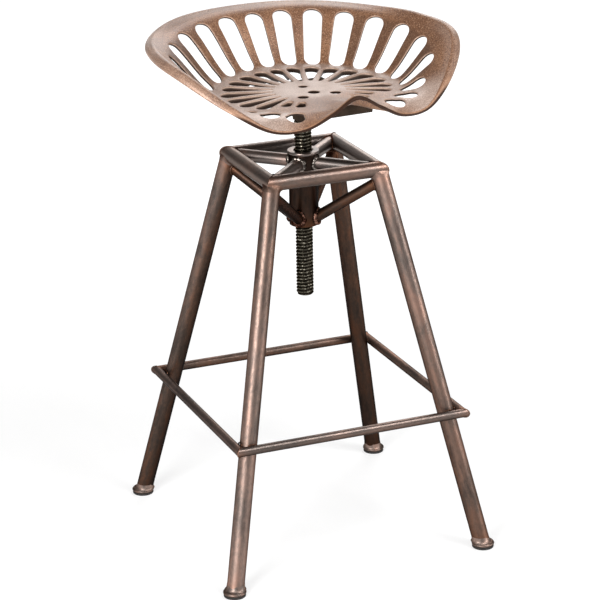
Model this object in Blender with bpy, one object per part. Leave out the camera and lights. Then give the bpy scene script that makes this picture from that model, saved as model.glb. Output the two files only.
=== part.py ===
"""Stool with a pierced pressed-metal saddle seat on a turning screw, carried by a four-legged tube frame.

Metres, +Z up, floor at Z = 0. The screw axis is the Z axis and the seat's front looks towards -Y.
"""

import math

import bmesh
import bpy
import numpy as np
from mathutils import Matrix, Vector
from mathutils.geometry import delaunay_2d_cdt

# Clearances
WELD_GAP = 0.0003  # between two pieces that are welded together
SEAT_GAP = 0.0004  # between two pieces that are clamped together
SCREW_CLEARANCE = 0.0009  # radial, screw in its threaded hub

# Frame of tubes
RAIL_HEIGHT = 0.560  # centre line of the top square
RAIL_HALF = 0.0815  # half the side of the top square, on centre lines
RAIL_DIAMETER = 0.022
LEG_DIAMETER = 0.025
FOOT_HALF = 0.195  # leg axis at the floor, from the screw axis along X and along Y
ARM_DIAMETER = 0.0185
BRACE_DIAMETER = 0.016
TUBE_WALL = 0.002
BRACE_HUB_DROP = 0.094  # where a brace's centre line would cross the screw axis, below the rails' centre line
BRACE_LEG_DROP = 0.015  # where it meets the leg's centre line, below the rails' centre line
LEG_COPE = 0.2  # the leg's top stands this part of a rail's diameter below the rail's centre

# Footrest
FOOTREST_HEIGHT = 0.2063
FOOTREST_DIAMETER = 0.013

# Feet
PAD_DIAMETER = 0.032
PAD_THICKNESS = 0.0035
FOOT_DIAMETER = 0.034
FOOT_THICKNESS = 0.0055
FOOT_EDGE = 0.0012

# Hub and screw, placed from the rails' centre line
HUB_DIAMETER = 0.0424
HUB_BELOW = 0.093
HUB_ABOVE = 0.0135
COLLAR_DIAMETER = 0.046
COLLAR_THICKNESS = 0.004
SCREW_DIAMETER = 0.025
SCREW_BELOW = 0.200
SCREW_CHAMFER = 0.002
FLANGE_DIAMETER = 0.040
FLANGE_THICKNESS = 0.008

# Under the seat
SEAT_TURN = math.radians(4.3)  # how far the seat stands turned at rest
SEAT_RISE = 0.111  # top of the flat plate in the middle of the pan, above the rails' centre line
BRACKET_WIDTH = 0.052
BRACKET_DEPTH = 0.016
BRACKET_WALL = 0.005
BRACKET_FRONT = 0.105  # front of the front cross bar, ahead of the screw axis
BRACKET_BACK = 0.051  # back of the rear cross bar, behind the screw axis
CROSS_BAR_WIDTH = 0.024
CROSS_BAR_LENGTH = 0.114

# Seat
PAN_FORWARD = 0.0222  # middle of the pan in front of the screw axis
SHEET = 0.0045
PLATE_RADIUS = 0.045  # flat plate in the middle
SLOT_PITCH = math.radians(14.5)
SLOT_COUNT = 21
HEAD_WIDTH = 0.028  # wall slot near the rim
HEAD_WEB = 0.011
SLOT_FOOT_WIDTH = 0.023  # wall slot near the pan
SLOT_FOOT_WEB = 0.009
SPOKE = 0.009  # between two slots of the pan
SPOKE_ROOT = 0.052
SPOKE_LAND = 0.012  # solid ring between the pan's slots and the wall's slots
LOBE_SLOT_FROM = 9  # from this slot on, counted from the back, the pan's slots are short
LOBE_SLOT_ROOT = 0.066
LOBE_SLOT_LENGTH = 0.026
SIDE_HOLE_LATERAL = 0.0255  # two round holes of the plate, either side
SIDE_HOLE_FORWARD = 0.031
SIDE_HOLE_DIAMETER = 0.0155
MIDDLE_HOLE_FORWARD = 0.014
MIDDLE_HOLE_DIAMETER = 0.017
REAR_HOLE_BACK = 0.020
REAR_HOLE_DIAMETER = 0.013
SEAT_RADIUS = 0.200  # length that the shares of the sections are taken of
# Section of the seat at an angle from the back, the same on both sides: each pair is a radius from the
# pan's middle and a height over the plate, for the foot of a wall slot, its head, and the start of the roll.
SECTIONS = (  # degrees, then in shares of SEAT_RADIUS: foot, head, roll start, roll radius
    (0, (0.620, 0.030), (0.920, 0.365), (1.100, 0.390), 0.045),
    (25, (0.645, 0.020), (0.955, 0.360), (1.135, 0.380), 0.045),
    (50, (0.670, 0.005), (0.980, 0.330), (1.100, 0.365), 0.045),
    (75, (0.690, -0.010), (0.980, 0.290), (1.065, 0.355), 0.045),
    (100, (0.665, -0.015), (0.920, 0.195), (1.050, 0.300), 0.045),
    (120, (0.630, -0.010), (0.795, 0.035), (0.945, 0.100), 0.035),
    (137, (0.600, -0.005), (0.765, -0.010), (0.860, -0.055), 0.025),
    (150, (0.600, 0.000), (0.730, -0.030), (0.780, -0.060), 0.025),
    (165, (0.615, 0.015), (0.670, 0.010), (0.725, 0.030), 0.025),
    (180, (0.590, 0.050), (0.645, 0.075), (0.695, 0.120), 0.025),
)

# Fineness of the meshes
TUBE_SIDES = 24
TURNED_SIDES = 32
RIM_POINTS = 96
ROLL_STEPS = 4
SLOT_END_POINTS = 5
SLOT_SIDE_POINTS = 4
HOLE_POINTS = 12
POINT_SPACING = 0.013  # between the points that shape the plain part of the pan

CORNERS = {
    "left_rear": (-1, 1),
    "left_front": (-1, -1),
    "right_front": (1, -1),
    "right_rear": (1, 1),
}
SIDES = {
    "front": ("left_front", "right_front"),
    "right": ("right_front", "right_rear"),
    "rear": ("right_rear", "left_rear"),
    "left": ("left_rear", "left_front"),
}


def clear_scene():
    for old in list(bpy.data.objects):
        bpy.data.objects.remove(old, do_unlink=True)


def make_material(name, colour, roughness, metallic):
    material = bpy.data.materials.new(name)
    material.use_nodes = True
    shader = material.node_tree.nodes["Principled BSDF"]
    shader.inputs["Base Color"].default_value = (*colour, 1.0)
    shader.inputs["Roughness"].default_value = roughness
    shader.inputs["Metallic"].default_value = metallic
    return material


def add_node(name, shape, material, parent=None, sharp=math.radians(35)):
    """One closed mesh as one named object, smooth except across edges sharper than the given angle."""
    bmesh.ops.recalc_face_normals(shape, faces=shape.faces)
    for face in shape.faces:
        face.smooth = True
    for edge in shape.edges:
        edge.smooth = edge.calc_face_angle(0.0) < sharp
    mesh = bpy.data.meshes.new(name)
    shape.to_mesh(mesh)
    shape.free()
    mesh.materials.append(material)
    node = bpy.data.objects.new(name, mesh)
    bpy.context.scene.collection.objects.link(node)
    node.parent = parent
    return node


def plane_stop(point, normal):
    """Where a line meets a plane, as a distance along the line."""

    def distance(origin, direction):
        return (point - origin).dot(normal) / direction.dot(normal)

    return distance


def cylinder_stop(point, axis, radius, holds=None):
    """Where a line first meets a round bar, or infinity. Only hits for which holds is true count."""

    def distance(origin, direction):
        offset = origin - point
        across = offset - axis * offset.dot(axis)
        run = direction - axis * direction.dot(axis)
        a = run.dot(run)
        b = across.dot(run)
        c = across.dot(across) - radius * radius
        inside = b * b - a * c
        if inside <= 0.0:
            return math.inf
        hit = (-b - math.sqrt(inside)) / a
        if hit < 0.0 or (holds and not holds(origin + direction * hit)):
            return math.inf
        return hit

    return distance


def across_axes(direction):
    helper = Vector((0, 0, 1)) if abs(direction.z) < 0.9 else Vector((1, 0, 0))
    first = direction.cross(helper).normalized()
    return first, direction.cross(first)


def bar(name, start, end, diameter, wall, start_stops, end_stops, material):
    """Straight tube, or rod if wall is None, whose ends are cut to fit the stops they run into."""
    direction = (end - start).normalized()
    middle = (start + end) / 2
    first, second = across_axes(direction)
    shape = bmesh.new()

    def ring(radius, way, stops):
        corners = []
        for i in range(TUBE_SIDES):
            angle = 2 * math.pi * i / TUBE_SIDES
            origin = middle + first * (radius * math.cos(angle)) + second * (radius * math.sin(angle))
            reach = min(stop(origin, way) for stop in stops)
            corners.append(shape.verts.new(origin + way * reach))
        return corners

    def strip(one, other):
        for i in range(TUBE_SIDES):
            j = (i + 1) % TUBE_SIDES
            shape.faces.new((one[i], one[j], other[j], other[i]))

    outer_start = ring(diameter / 2, -direction, start_stops)
    outer_end = ring(diameter / 2, direction, end_stops)
    strip(outer_start, outer_end)
    if wall is None:
        shape.faces.new(outer_start)
        shape.faces.new(outer_end)
    else:
        inner_start = ring(diameter / 2 - wall, -direction, start_stops)
        inner_end = ring(diameter / 2 - wall, direction, end_stops)
        strip(inner_start, inner_end)
        strip(outer_start, inner_start)
        strip(outer_end, inner_end)
    return add_node(name, shape, material)


def turned(name, profile, material, centre=(0.0, 0.0), parent=None):
    """Round piece from a closed outline of radius and height. Points at radius zero lie on the axis."""
    shape = bmesh.new()
    rings = []
    for radius, height in profile:
        if radius == 0.0:
            rings.append([shape.verts.new((centre[0], centre[1], height))] * TURNED_SIDES)
            continue
        turn = [2 * math.pi * i / TURNED_SIDES for i in range(TURNED_SIDES)]
        rings.append(
            [
                shape.verts.new((centre[0] + radius * math.cos(a), centre[1] + radius * math.sin(a), height))
                for a in turn
            ]
        )
    for one, other in zip(rings, rings[1:] + rings[:1]):
        for i in range(TURNED_SIDES):
            j = (i + 1) % TURNED_SIDES
            corners = list(dict.fromkeys((one[i], one[j], other[j], other[i])))
            if len(corners) > 2:
                shape.faces.new(corners)
    return add_node(name, shape, material, parent)


def leg_half(height):
    """Distance of a leg's centre line from the screw axis, along X and along Y."""
    return FOOT_HALF + (RAIL_HALF - FOOT_HALF) * height / RAIL_HEIGHT


def corner_point(corner, half, height):
    return Vector((corner[0] * half, corner[1] * half, height))


def below_rail(point):
    return point.z < RAIL_HEIGHT


def build_frame(steel):
    """Legs, top square, hub arms, braces and footrest."""
    rail_radius = RAIL_DIAMETER / 2
    fit_radius = rail_radius + WELD_GAP
    hub_stop = cylinder_stop(Vector((0, 0, 0)), Vector((0, 0, 1)), HUB_DIAMETER / 2 + WELD_GAP)
    foot_top = PAD_THICKNESS + FOOT_THICKNESS + 2 * WELD_GAP
    slope = (FOOT_HALF - RAIL_HALF) / RAIL_HEIGHT
    reach = (LEG_DIAMETER / 2 + FOOTREST_DIAMETER / 2 + WELD_GAP) * math.hypot(1, slope)
    footrest_half = leg_half(FOOTREST_HEIGHT) + reach

    for side, ends in SIDES.items():
        for name, half, height, diameter, wall in (
            ("top_rail", RAIL_HALF, RAIL_HEIGHT, RAIL_DIAMETER, TUBE_WALL),
            ("footrest_bar", footrest_half, FOOTREST_HEIGHT, FOOTREST_DIAMETER, None),
        ):
            start, end = (corner_point(CORNERS[end], half, height) for end in ends)
            mitres = []
            for corner, point in ((CORNERS[ends[0]], start), (CORNERS[ends[1]], end)):
                normal = Vector((-corner[1], corner[0], 0)).normalized()
                normal = normal if normal.dot((start + end) / 2 - point) > 0 else -normal
                mitres.append(plane_stop(point + normal * (WELD_GAP / 2), normal))
            bar(f"{name}_{side}", start, end, diameter, wall, mitres[:1], mitres[1:], steel)

    for name, corner in CORNERS.items():
        top = corner_point(corner, RAIL_HALF, RAIL_HEIGHT)
        foot = corner_point(corner, FOOT_HALF, 0.0)
        along_x = Vector((1, 0, 0))
        along_y = Vector((0, 1, 0))

        def on_x_rail(point, top=top, corner=corner):
            offset = point - top
            return -offset.x * corner[0] >= -offset.y * corner[1]

        def on_y_rail(point, top=top, corner=corner):
            offset = point - top
            return -offset.y * corner[1] >= -offset.x * corner[0]

        cap = plane_stop(top - Vector((0, 0, LEG_COPE * RAIL_DIAMETER)), Vector((0, 0, 1)))
        leg_tops = [
            cap,
            cylinder_stop(top, along_x, fit_radius, on_x_rail),
            cylinder_stop(top, along_y, fit_radius, on_y_rail),
        ]
        floor_stop = plane_stop(Vector((0, 0, foot_top)), Vector((0, 0, 1)))
        bar(f"leg_{name}", foot, top, LEG_DIAMETER, TUBE_WALL, [floor_stop], leg_tops, steel)

        leg_axis = (top - foot).normalized()
        leg_side = cylinder_stop(foot, leg_axis, LEG_DIAMETER / 2 + WELD_GAP, below_rail)
        rails = [cylinder_stop(top, along_x, fit_radius), cylinder_stop(top, along_y, fit_radius)]
        hub = Vector((0, 0, RAIL_HEIGHT))
        bar(f"hub_arm_{name}", hub, top, ARM_DIAMETER, TUBE_WALL, [hub_stop], [leg_side, *rails], steel)

        low = Vector((0, 0, RAIL_HEIGHT - BRACE_HUB_DROP))
        meeting = RAIL_HEIGHT - BRACE_LEG_DROP
        high = corner_point(corner, leg_half(meeting), meeting)
        bar(f"hub_brace_{name}", low, high, BRACE_DIAMETER, TUBE_WALL, [hub_stop], [leg_side, *rails], steel)


def build_feet(steel, rubber):
    low = PAD_THICKNESS + WELD_GAP
    high = low + FOOT_THICKNESS
    for name, corner in CORNERS.items():
        centre = (corner[0] * FOOT_HALF, corner[1] * FOOT_HALF)
        radius = FOOT_DIAMETER / 2
        edge = radius - FOOT_EDGE
        foot = ((0.0, low), (radius, low), (radius, high - FOOT_EDGE), (edge, high), (0.0, high))
        turned(f"foot_{name}", foot, steel, centre)
        pad = ((0.0, 0.0), (PAD_DIAMETER / 2, 0.0), (PAD_DIAMETER / 2, PAD_THICKNESS), (0.0, PAD_THICKNESS))
        turned(f"foot_pad_{name}", pad, rubber, centre)


def build_hub(steel):
    bore = SCREW_DIAMETER / 2 + SCREW_CLEARANCE
    low = RAIL_HEIGHT - HUB_BELOW
    high = RAIL_HEIGHT + HUB_ABOVE
    tube = ((bore, low), (HUB_DIAMETER / 2, low), (HUB_DIAMETER / 2, high), (bore, high))
    turned("hub_tube", tube, steel)
    low = high + WELD_GAP
    high = low + COLLAR_THICKNESS
    radius = COLLAR_DIAMETER / 2
    edge = radius - FOOT_EDGE
    collar = ((bore, low), (radius, low), (radius, high - FOOT_EDGE), (edge, high), (bore, high))
    turned("hub_collar", collar, steel)


def box(shape, low, high):
    middle = [(a + b) / 2 for a, b in zip(low, high)]
    size = [b - a for a, b in zip(low, high)]
    placed = Matrix.Translation(middle) @ Matrix.Diagonal((*size, 1.0))
    bmesh.ops.create_cube(shape, size=1.0, matrix=placed)


def build_lift(dark, lift_axis, turn_axis):
    """Screw with its flange, and the channel and cross bar that the seat is bolted to."""
    bracket_top = RAIL_HEIGHT + SEAT_RISE - SHEET - SEAT_GAP
    flange_top = bracket_top - BRACKET_WALL - WELD_GAP
    flange_low = flange_top - FLANGE_THICKNESS
    radius = FLANGE_DIAMETER / 2
    flange = ((0.0, flange_low), (radius, flange_low), (radius, flange_top), (0.0, flange_top))
    turned("screw_flange", flange, dark, parent=lift_axis)

    radius = SCREW_DIAMETER / 2
    tip = radius - SCREW_CHAMFER
    screw_top = flange_low - WELD_GAP
    screw_low = RAIL_HEIGHT - SCREW_BELOW
    screw = (
        (0.0, screw_low),
        (tip, screw_low),
        (radius, screw_low + SCREW_CHAMFER),
        (radius, screw_top),
        (0.0, screw_top),
    )
    turned("screw", screw, dark, parent=turn_axis)

    half = BRACKET_WIDTH / 2
    inner = half - BRACKET_WALL
    low = bracket_top - BRACKET_DEPTH
    ledge = bracket_top - BRACKET_WALL
    back = BRACKET_BACK - CROSS_BAR_WIDTH
    front = CROSS_BAR_WIDTH - BRACKET_FRONT
    section = (
        (-half, low),
        (-inner, low),
        (-inner, ledge),
        (inner, ledge),
        (inner, low),
        (half, low),
        (half, bracket_top),
        (-half, bracket_top),
    )
    shape = bmesh.new()
    face = shape.faces.new([shape.verts.new((x, back - WELD_GAP, z)) for x, z in section])
    grown = bmesh.ops.extrude_face_region(shape, geom=[face])["geom"]
    moved = [item for item in grown if isinstance(item, bmesh.types.BMVert)]
    bmesh.ops.translate(shape, verts=moved, vec=(0, front - back + 2 * WELD_GAP, 0))
    add_node("seat_bracket", shape, dark, turn_axis)

    half = CROSS_BAR_LENGTH / 2
    for name, near in (("rear", back), ("front", -BRACKET_FRONT)):
        shape = bmesh.new()
        box(shape, (-half, near, low), (half, near + CROSS_BAR_WIDTH, bracket_top))
        add_node(f"seat_cross_bar_{name}", shape, dark, turn_axis)


def hermite(x, x0, x1, y0, y1, d0, d1):
    h = x1 - x0
    t = np.clip((x - x0) / h, 0.0, 1.0)
    low = (1 + 2 * t) * (1 - t) ** 2
    high = t * t * (3 - 2 * t)
    return low * y0 + high * y1 + h * (t * (1 - t) ** 2 * d0 - t * t * (1 - t) * d1)


def around(values):
    """A size of the sections as a smooth function of the angle from the back, level at back and front."""
    stations = np.radians([section[0] for section in SECTIONS])
    values = np.array(values)
    step = np.diff(stations)
    rise = np.diff(values) / step
    slope = np.zeros(len(values))
    slope[1:-1] = (rise[:-1] * step[1:] + rise[1:] * step[:-1]) / (step[:-1] + step[1:])

    def at(angle):
        i = np.clip(np.searchsorted(stations, angle) - 1, 0, len(step) - 1)
        return hermite(
            angle, stations[i], stations[i + 1], values[i], values[i + 1], slope[i], slope[i + 1]
        )

    return at


FOOT_R, FOOT_Z = (around([SEAT_RADIUS * section[1][i] for section in SECTIONS]) for i in (0, 1))
HEAD_R, HEAD_Z = (around([SEAT_RADIUS * section[2][i] for section in SECTIONS]) for i in (0, 1))
ROLL_R, ROLL_Z = (around([SEAT_RADIUS * section[3][i] for section in SECTIONS]) for i in (0, 1))
ROLL = around([SEAT_RADIUS * section[4] for section in SECTIONS])


def section_at(angle):
    """Seat's section at each angle: radii and heights of its knots, slopes leaving and reaching them.

    The pan meets the wall in a bend, and everything else runs on smoothly.
    """
    angle = np.abs(angle)
    radii = np.stack([np.full_like(angle, PLATE_RADIUS), FOOT_R(angle), HEAD_R(angle), ROLL_R(angle)])
    heights = np.stack([np.zeros_like(angle), FOOT_Z(angle), HEAD_Z(angle), ROLL_Z(angle)])
    rise = np.diff(heights, axis=0) / np.diff(radii, axis=0)
    shoulder = (rise[1] + rise[2]) / 2
    leaving = np.stack([np.zeros_like(angle), (rise[0] + rise[1]) / 2, shoulder])
    reaching = np.stack([rise[0], shoulder, rise[2]])
    return radii, heights, leaving, reaching


def seat_height(x, y):
    """Top of the seat over its plate, at a place lateral and backward of the pan's middle."""
    radius = np.hypot(x, y)
    knots, heights, leaving, reaching = section_at(np.arctan2(x, y))
    result = np.zeros_like(radius)
    for i in range(3):
        part = hermite(
            radius, knots[i], knots[i + 1], heights[i], heights[i + 1], leaving[i], reaching[i]
        )
        result = np.where(radius > knots[i], part, result)
    return result


def seat_normal(x, y):
    step = 1e-4
    slope_x = (seat_height(x + step, y) - seat_height(x - step, y)) / (2 * step)
    slope_y = (seat_height(x, y + step) - seat_height(x, y - step)) / (2 * step)
    normal = np.stack([-slope_x, -slope_y, np.ones_like(x)], axis=-1)
    return normal / np.linalg.norm(normal, axis=-1, keepdims=True)


def slot_outline(angle, inner, outer, inner_width, outer_width):
    """Outline of a radial slot with round ends, measured along the curved sheet."""
    radii = np.linspace(inner, outer, 40)
    heights = seat_height(radii * np.sin(angle), radii * np.cos(angle))
    lengths = np.concatenate([[0.0], np.cumsum(np.hypot(np.diff(radii), np.diff(heights)))])
    total = lengths[-1]
    share = min(1.0, 2 * total / (inner_width + outer_width))
    inner_end = inner_width / 2 * share
    outer_end = outer_width / 2 * share
    points = []
    for i in range(SLOT_END_POINTS):
        turn = math.pi * i / (SLOT_END_POINTS - 1)
        points.append((inner_end - inner_end * math.sin(turn), -inner_width / 2 * math.cos(turn)))
    side = np.linspace(0.0, 1.0, SLOT_SIDE_POINTS + 2)[1:-1]
    run = total - inner_end - outer_end
    if run > SPOKE:
        for part in side:
            width = inner_width + (outer_width - inner_width) * part
            points.append((inner_end + run * part, width / 2))
    for i in range(SLOT_END_POINTS):
        turn = math.pi * i / (SLOT_END_POINTS - 1)
        points.append((total - outer_end + outer_end * math.sin(turn), outer_width / 2 * math.cos(turn)))
    if run > SPOKE:
        for part in side[::-1]:
            width = inner_width + (outer_width - inner_width) * part
            points.append((inner_end + run * part, -width / 2))
    outline = []
    for along, across in points:
        radius = np.interp(along, lengths, radii)
        turned_by = angle + across / radius
        outline.append((radius * math.sin(turned_by), radius * math.cos(turned_by)))
    return outline


def seat_openings():
    outlines = []
    for k in range(SLOT_COUNT):
        place = k - SLOT_COUNT // 2
        angle = place * SLOT_PITCH
        size = np.array([abs(angle)])
        foot = float(FOOT_R(size)[0])
        head = float(HEAD_R(size)[0])
        foot_width = min(SLOT_FOOT_WIDTH, foot * SLOT_PITCH - SLOT_FOOT_WEB)
        head_width = min(HEAD_WIDTH, head * SLOT_PITCH - HEAD_WEB)
        outlines.append(slot_outline(angle, foot, head, foot_width, head_width))
        root = SPOKE_ROOT
        end = foot - SPOKE_LAND
        if abs(place) >= LOBE_SLOT_FROM:
            root = LOBE_SLOT_ROOT
            end = LOBE_SLOT_ROOT + LOBE_SLOT_LENGTH
        widths = [radius * SLOT_PITCH - SPOKE for radius in (root, end)]
        outlines.append(slot_outline(angle, root, end, *widths))
    for lateral, forward, diameter in (
        (0.0, -REAR_HOLE_BACK, REAR_HOLE_DIAMETER),
        (0.0, MIDDLE_HOLE_FORWARD, MIDDLE_HOLE_DIAMETER),
        (-SIDE_HOLE_LATERAL, SIDE_HOLE_FORWARD, SIDE_HOLE_DIAMETER),
        (SIDE_HOLE_LATERAL, SIDE_HOLE_FORWARD, SIDE_HOLE_DIAMETER),
    ):
        turn = [2 * math.pi * i / HOLE_POINTS for i in range(HOLE_POINTS)]
        outlines.append(
            [(lateral + diameter / 2 * math.sin(a), -forward + diameter / 2 * math.cos(a)) for a in turn]
        )
    return outlines


def inside(outline, points):
    """Which of the points lie inside a closed outline."""
    x, y = points.T
    within = np.zeros(len(points), bool)
    for (ax, ay), (bx, by) in zip(outline, outline[1:] + outline[:1]):
        crosses = (ay > y) != (by > y)
        height = by - ay if by != ay else 1.0
        within ^= crosses & (x < (bx - ax) * (y - ay) / height + ax)
    return within


def build_seat(bronze, turn_axis):
    """The sheet's flat blank is cut out, pressed to the sections, rolled at the rim and given thickness."""
    openings = seat_openings()
    turn = np.arange(RIM_POINTS) * 2 * math.pi / RIM_POINTS
    folded = np.abs((turn + math.pi) % (2 * math.pi) - math.pi)
    start = ROLL_R(folded)
    rim = list(zip(start * np.sin(turn), start * np.cos(turn)))

    inner_points = []
    for part in (0.3, 0.65):
        head = HEAD_R(folded)
        radius = head + (start - head) * part
        inner_points += list(zip(radius * np.sin(turn), radius * np.cos(turn)))[::2]
    for radius in np.arange(PLATE_RADIUS + POINT_SPACING, FOOT_R(math.pi), POINT_SPACING):
        for step in range(-3, 4):
            angle = math.pi + step * math.radians(8)
            inner_points.append((radius * math.sin(angle), radius * math.cos(angle)))
    inner_points = np.array(inner_points)
    for outline in openings:
        middle = np.mean(outline, axis=0)
        grown = [tuple(middle + (np.array(p) - middle) * 1.15) for p in outline]
        inner_points = inner_points[~inside(grown, inner_points)]

    points = list(rim)
    edges = [(i, (i + 1) % RIM_POINTS) for i in range(RIM_POINTS)]
    for outline in openings:
        first = len(points)
        points += outline
        edges += [(first + i, first + (i + 1) % len(outline)) for i in range(len(outline))]
    points += [tuple(point) for point in inner_points]
    flat, _, faces, source, _, _ = delaunay_2d_cdt([Vector(p) for p in points], edges, [], 1, 1e-6)
    flat = np.array([tuple(point) for point in flat])
    faces = [tuple(face) for face in faces]
    middles = np.array([flat[list(face)].mean(axis=0) for face in faces])
    kept = np.ones(len(faces), bool)
    for outline in openings:
        kept &= ~inside(outline, middles)
    faces = [face for face, keep in zip(faces, kept) if keep]

    x, y = flat.T
    top = np.stack([x, y, seat_height(x, y)], axis=-1)
    normal = seat_normal(x, y)
    on_rim = np.full(len(flat), -1)
    for i, origins in enumerate(source):
        for origin in origins:
            if origin < RIM_POINTS:
                on_rim[i] = origin

    # The roll: from the rim's own slope down to upright, with the same thickness.
    slope = np.arctan(section_at(folded)[3][-1])
    roll = ROLL(folded)
    out = np.stack([np.sin(turn), np.cos(turn), np.zeros_like(turn)], axis=-1)
    up = np.array([0.0, 0.0, 1.0])
    base = np.stack([start * np.sin(turn), start * np.cos(turn), ROLL_Z(folded)], axis=-1)
    rings = []
    for step in range(ROLL_STEPS + 1):
        lean = slope + (-math.pi / 2 - slope) * step / ROLL_STEPS
        outward = roll * (np.sin(slope) - np.sin(lean))
        upward = roll * (np.cos(lean) - np.cos(slope))
        place = base + out * outward[:, None] + up * upward[:, None]
        facing = out * -np.sin(lean)[:, None] + up * np.cos(lean)[:, None]
        rings.append((place, facing))
    rim_index = np.argsort(np.where(on_rim < 0, len(flat) + RIM_POINTS, on_rim))[:RIM_POINTS]
    normal[rim_index] = rings[0][1]

    shape = bmesh.new()
    shift = np.array([0.0, -PAN_FORWARD, RAIL_HEIGHT + SEAT_RISE])
    upper = [shape.verts.new(tuple(point)) for point in top + shift]
    lower = [shape.verts.new(tuple(point)) for point in top - normal * SHEET + shift]
    uses = {}
    for face in faces:
        shape.faces.new([upper[i] for i in face])
        shape.faces.new([lower[i] for i in reversed(face)])
        for a, b in zip(face, face[1:] + face[:1]):
            uses[(a, b)] = True
    for a, b in uses:
        if (b, a) in uses or (on_rim[a] >= 0 and on_rim[b] >= 0):
            continue
        shape.faces.new((upper[b], upper[a], lower[a], lower[b]))
    outer = [upper[i] for i in rim_index]
    under = [lower[i] for i in rim_index]
    for place, facing in rings[1:]:
        next_outer = [shape.verts.new(tuple(point)) for point in place + shift]
        next_under = [shape.verts.new(tuple(point)) for point in place - facing * SHEET + shift]
        for i in range(RIM_POINTS):
            j = (i + 1) % RIM_POINTS
            shape.faces.new((outer[i], outer[j], next_outer[j], next_outer[i]))
            shape.faces.new((under[j], under[i], next_under[i], next_under[j]))
        outer = next_outer
        under = next_under
    for i in range(RIM_POINTS):
        j = (i + 1) % RIM_POINTS
        shape.faces.new((outer[i], outer[j], under[j], under[i]))
    add_node("seat", shape, bronze, turn_axis)


def add_axis(name, turn):
    axis = bpy.data.objects.new(name, None)
    axis.rotation_euler = (0.0, 0.0, turn)
    bpy.context.scene.collection.objects.link(axis)
    return axis


def main():
    clear_scene()
    steel = make_material("bronzed_steel", (0.10, 0.075, 0.06), 0.42, 0.85)
    dark = make_material("dark_steel", (0.06, 0.058, 0.052), 0.45, 0.85)
    bronze = make_material("copper_bronze", (0.42, 0.27, 0.20), 0.40, 0.80)
    rubber = make_material("black_rubber", (0.02, 0.02, 0.02), 0.80, 0.0)
    lift_axis = add_axis("lift_axis", 0.0)
    turn_axis = add_axis("turn_axis", SEAT_TURN)
    build_frame(steel)
    build_feet(steel, rubber)
    build_hub(steel)
    build_lift(dark, lift_axis, turn_axis)
    build_seat(bronze, turn_axis)


main()
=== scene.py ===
"""Looks of the saddle stool: fine seat, threaded screw, welded tubes, antique bronze finishes, studio."""

import itertools
import math
from collections import defaultdict

import bmesh
import bpy
import numpy as np
from mathutils import Matrix, Vector
from mathutils.geometry import delaunay_2d_cdt
from mathutils.noise import noise as smooth_noise


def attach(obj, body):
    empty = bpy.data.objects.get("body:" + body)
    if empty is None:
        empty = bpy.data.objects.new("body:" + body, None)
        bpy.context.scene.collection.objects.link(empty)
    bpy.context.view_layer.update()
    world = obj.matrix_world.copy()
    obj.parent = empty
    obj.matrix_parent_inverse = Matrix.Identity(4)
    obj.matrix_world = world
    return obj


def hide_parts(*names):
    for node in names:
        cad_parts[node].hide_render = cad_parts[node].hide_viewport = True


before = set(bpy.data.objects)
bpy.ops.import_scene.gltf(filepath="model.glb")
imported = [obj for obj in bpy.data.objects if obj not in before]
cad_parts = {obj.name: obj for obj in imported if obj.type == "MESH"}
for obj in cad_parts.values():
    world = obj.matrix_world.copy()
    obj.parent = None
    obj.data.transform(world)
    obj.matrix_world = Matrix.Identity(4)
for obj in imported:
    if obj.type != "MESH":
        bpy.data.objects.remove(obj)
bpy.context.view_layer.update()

# Sizes shared with the solids, in metres
WELD_GAP = 0.0003
SEAT_GAP = 0.0004
RAIL_HEIGHT = 0.560
RAIL_HALF = 0.0815
RAIL_DIAMETER = 0.022
LEG_DIAMETER = 0.025
FOOT_HALF = 0.195
ARM_DIAMETER = 0.0185
BRACE_DIAMETER = 0.016
TUBE_WALL = 0.002
BRACE_LOW = RAIL_HEIGHT - 0.094
BRACE_HIGH = RAIL_HEIGHT - 0.015
LEG_COPE = 0.2
FOOTREST_HEIGHT = 0.2063
FOOTREST_DIAMETER = 0.013
PAD_DIAMETER = 0.032
PAD_THICKNESS = 0.0035
FOOT_DIAMETER = 0.034
FOOT_THICKNESS = 0.0055
HUB_DIAMETER = 0.0424
HUB_BOTTOM = RAIL_HEIGHT - 0.093
HUB_TOP = RAIL_HEIGHT + 0.0135
COLLAR_DIAMETER = 0.046
COLLAR_THICKNESS = 0.004
SCREW_DIAMETER = 0.025
SCREW_PLAY = 0.0009
SCREW_BOTTOM = RAIL_HEIGHT - 0.200
SCREW_CHAMFER = 0.002
THREAD_PITCH = 0.005
THREAD_DEPTH = 0.0019
FLANGE_DIAMETER = 0.040
FLANGE_THICKNESS = 0.008
SEAT_TURN = math.radians(4.3)
SEAT_PLANE = RAIL_HEIGHT + 0.111
SHEET = 0.0045
BRACKET_TOP = SEAT_PLANE - SHEET - SEAT_GAP
BRACKET_WIDTH = 0.052
BRACKET_DEPTH = 0.016
BRACKET_WALL = 0.005
BRACKET_FRONT = 0.105
BRACKET_BACK = 0.051
CROSS_BAR_WIDTH = 0.024
CROSS_BAR_LENGTH = 0.114
PAN_FORWARD = 0.0222
PLATE_RADIUS = 0.045
SLOT_PITCH = math.radians(14.5)
SLOT_COUNT = 21
HEAD_WIDTH = 0.028
HEAD_WEB = 0.011
SLOT_FOOT_WIDTH = 0.023
SLOT_FOOT_WEB = 0.009
SPOKE = 0.009
SPOKE_ROOT = 0.052
SPOKE_LAND = 0.012
LOBE_SLOT_FROM = 9
LOBE_SLOT_ROOT = 0.066
LOBE_SLOT_LENGTH = 0.026
PLATE_HOLES = (  # lateral, forward of the pan's middle, diameter
    (0.0, -0.020, 0.013),
    (0.0, 0.014, 0.017),
    (-0.0255, 0.031, 0.0155),
    (0.0255, 0.031, 0.0155),
)
SEAT_RADIUS = 0.200
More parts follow.
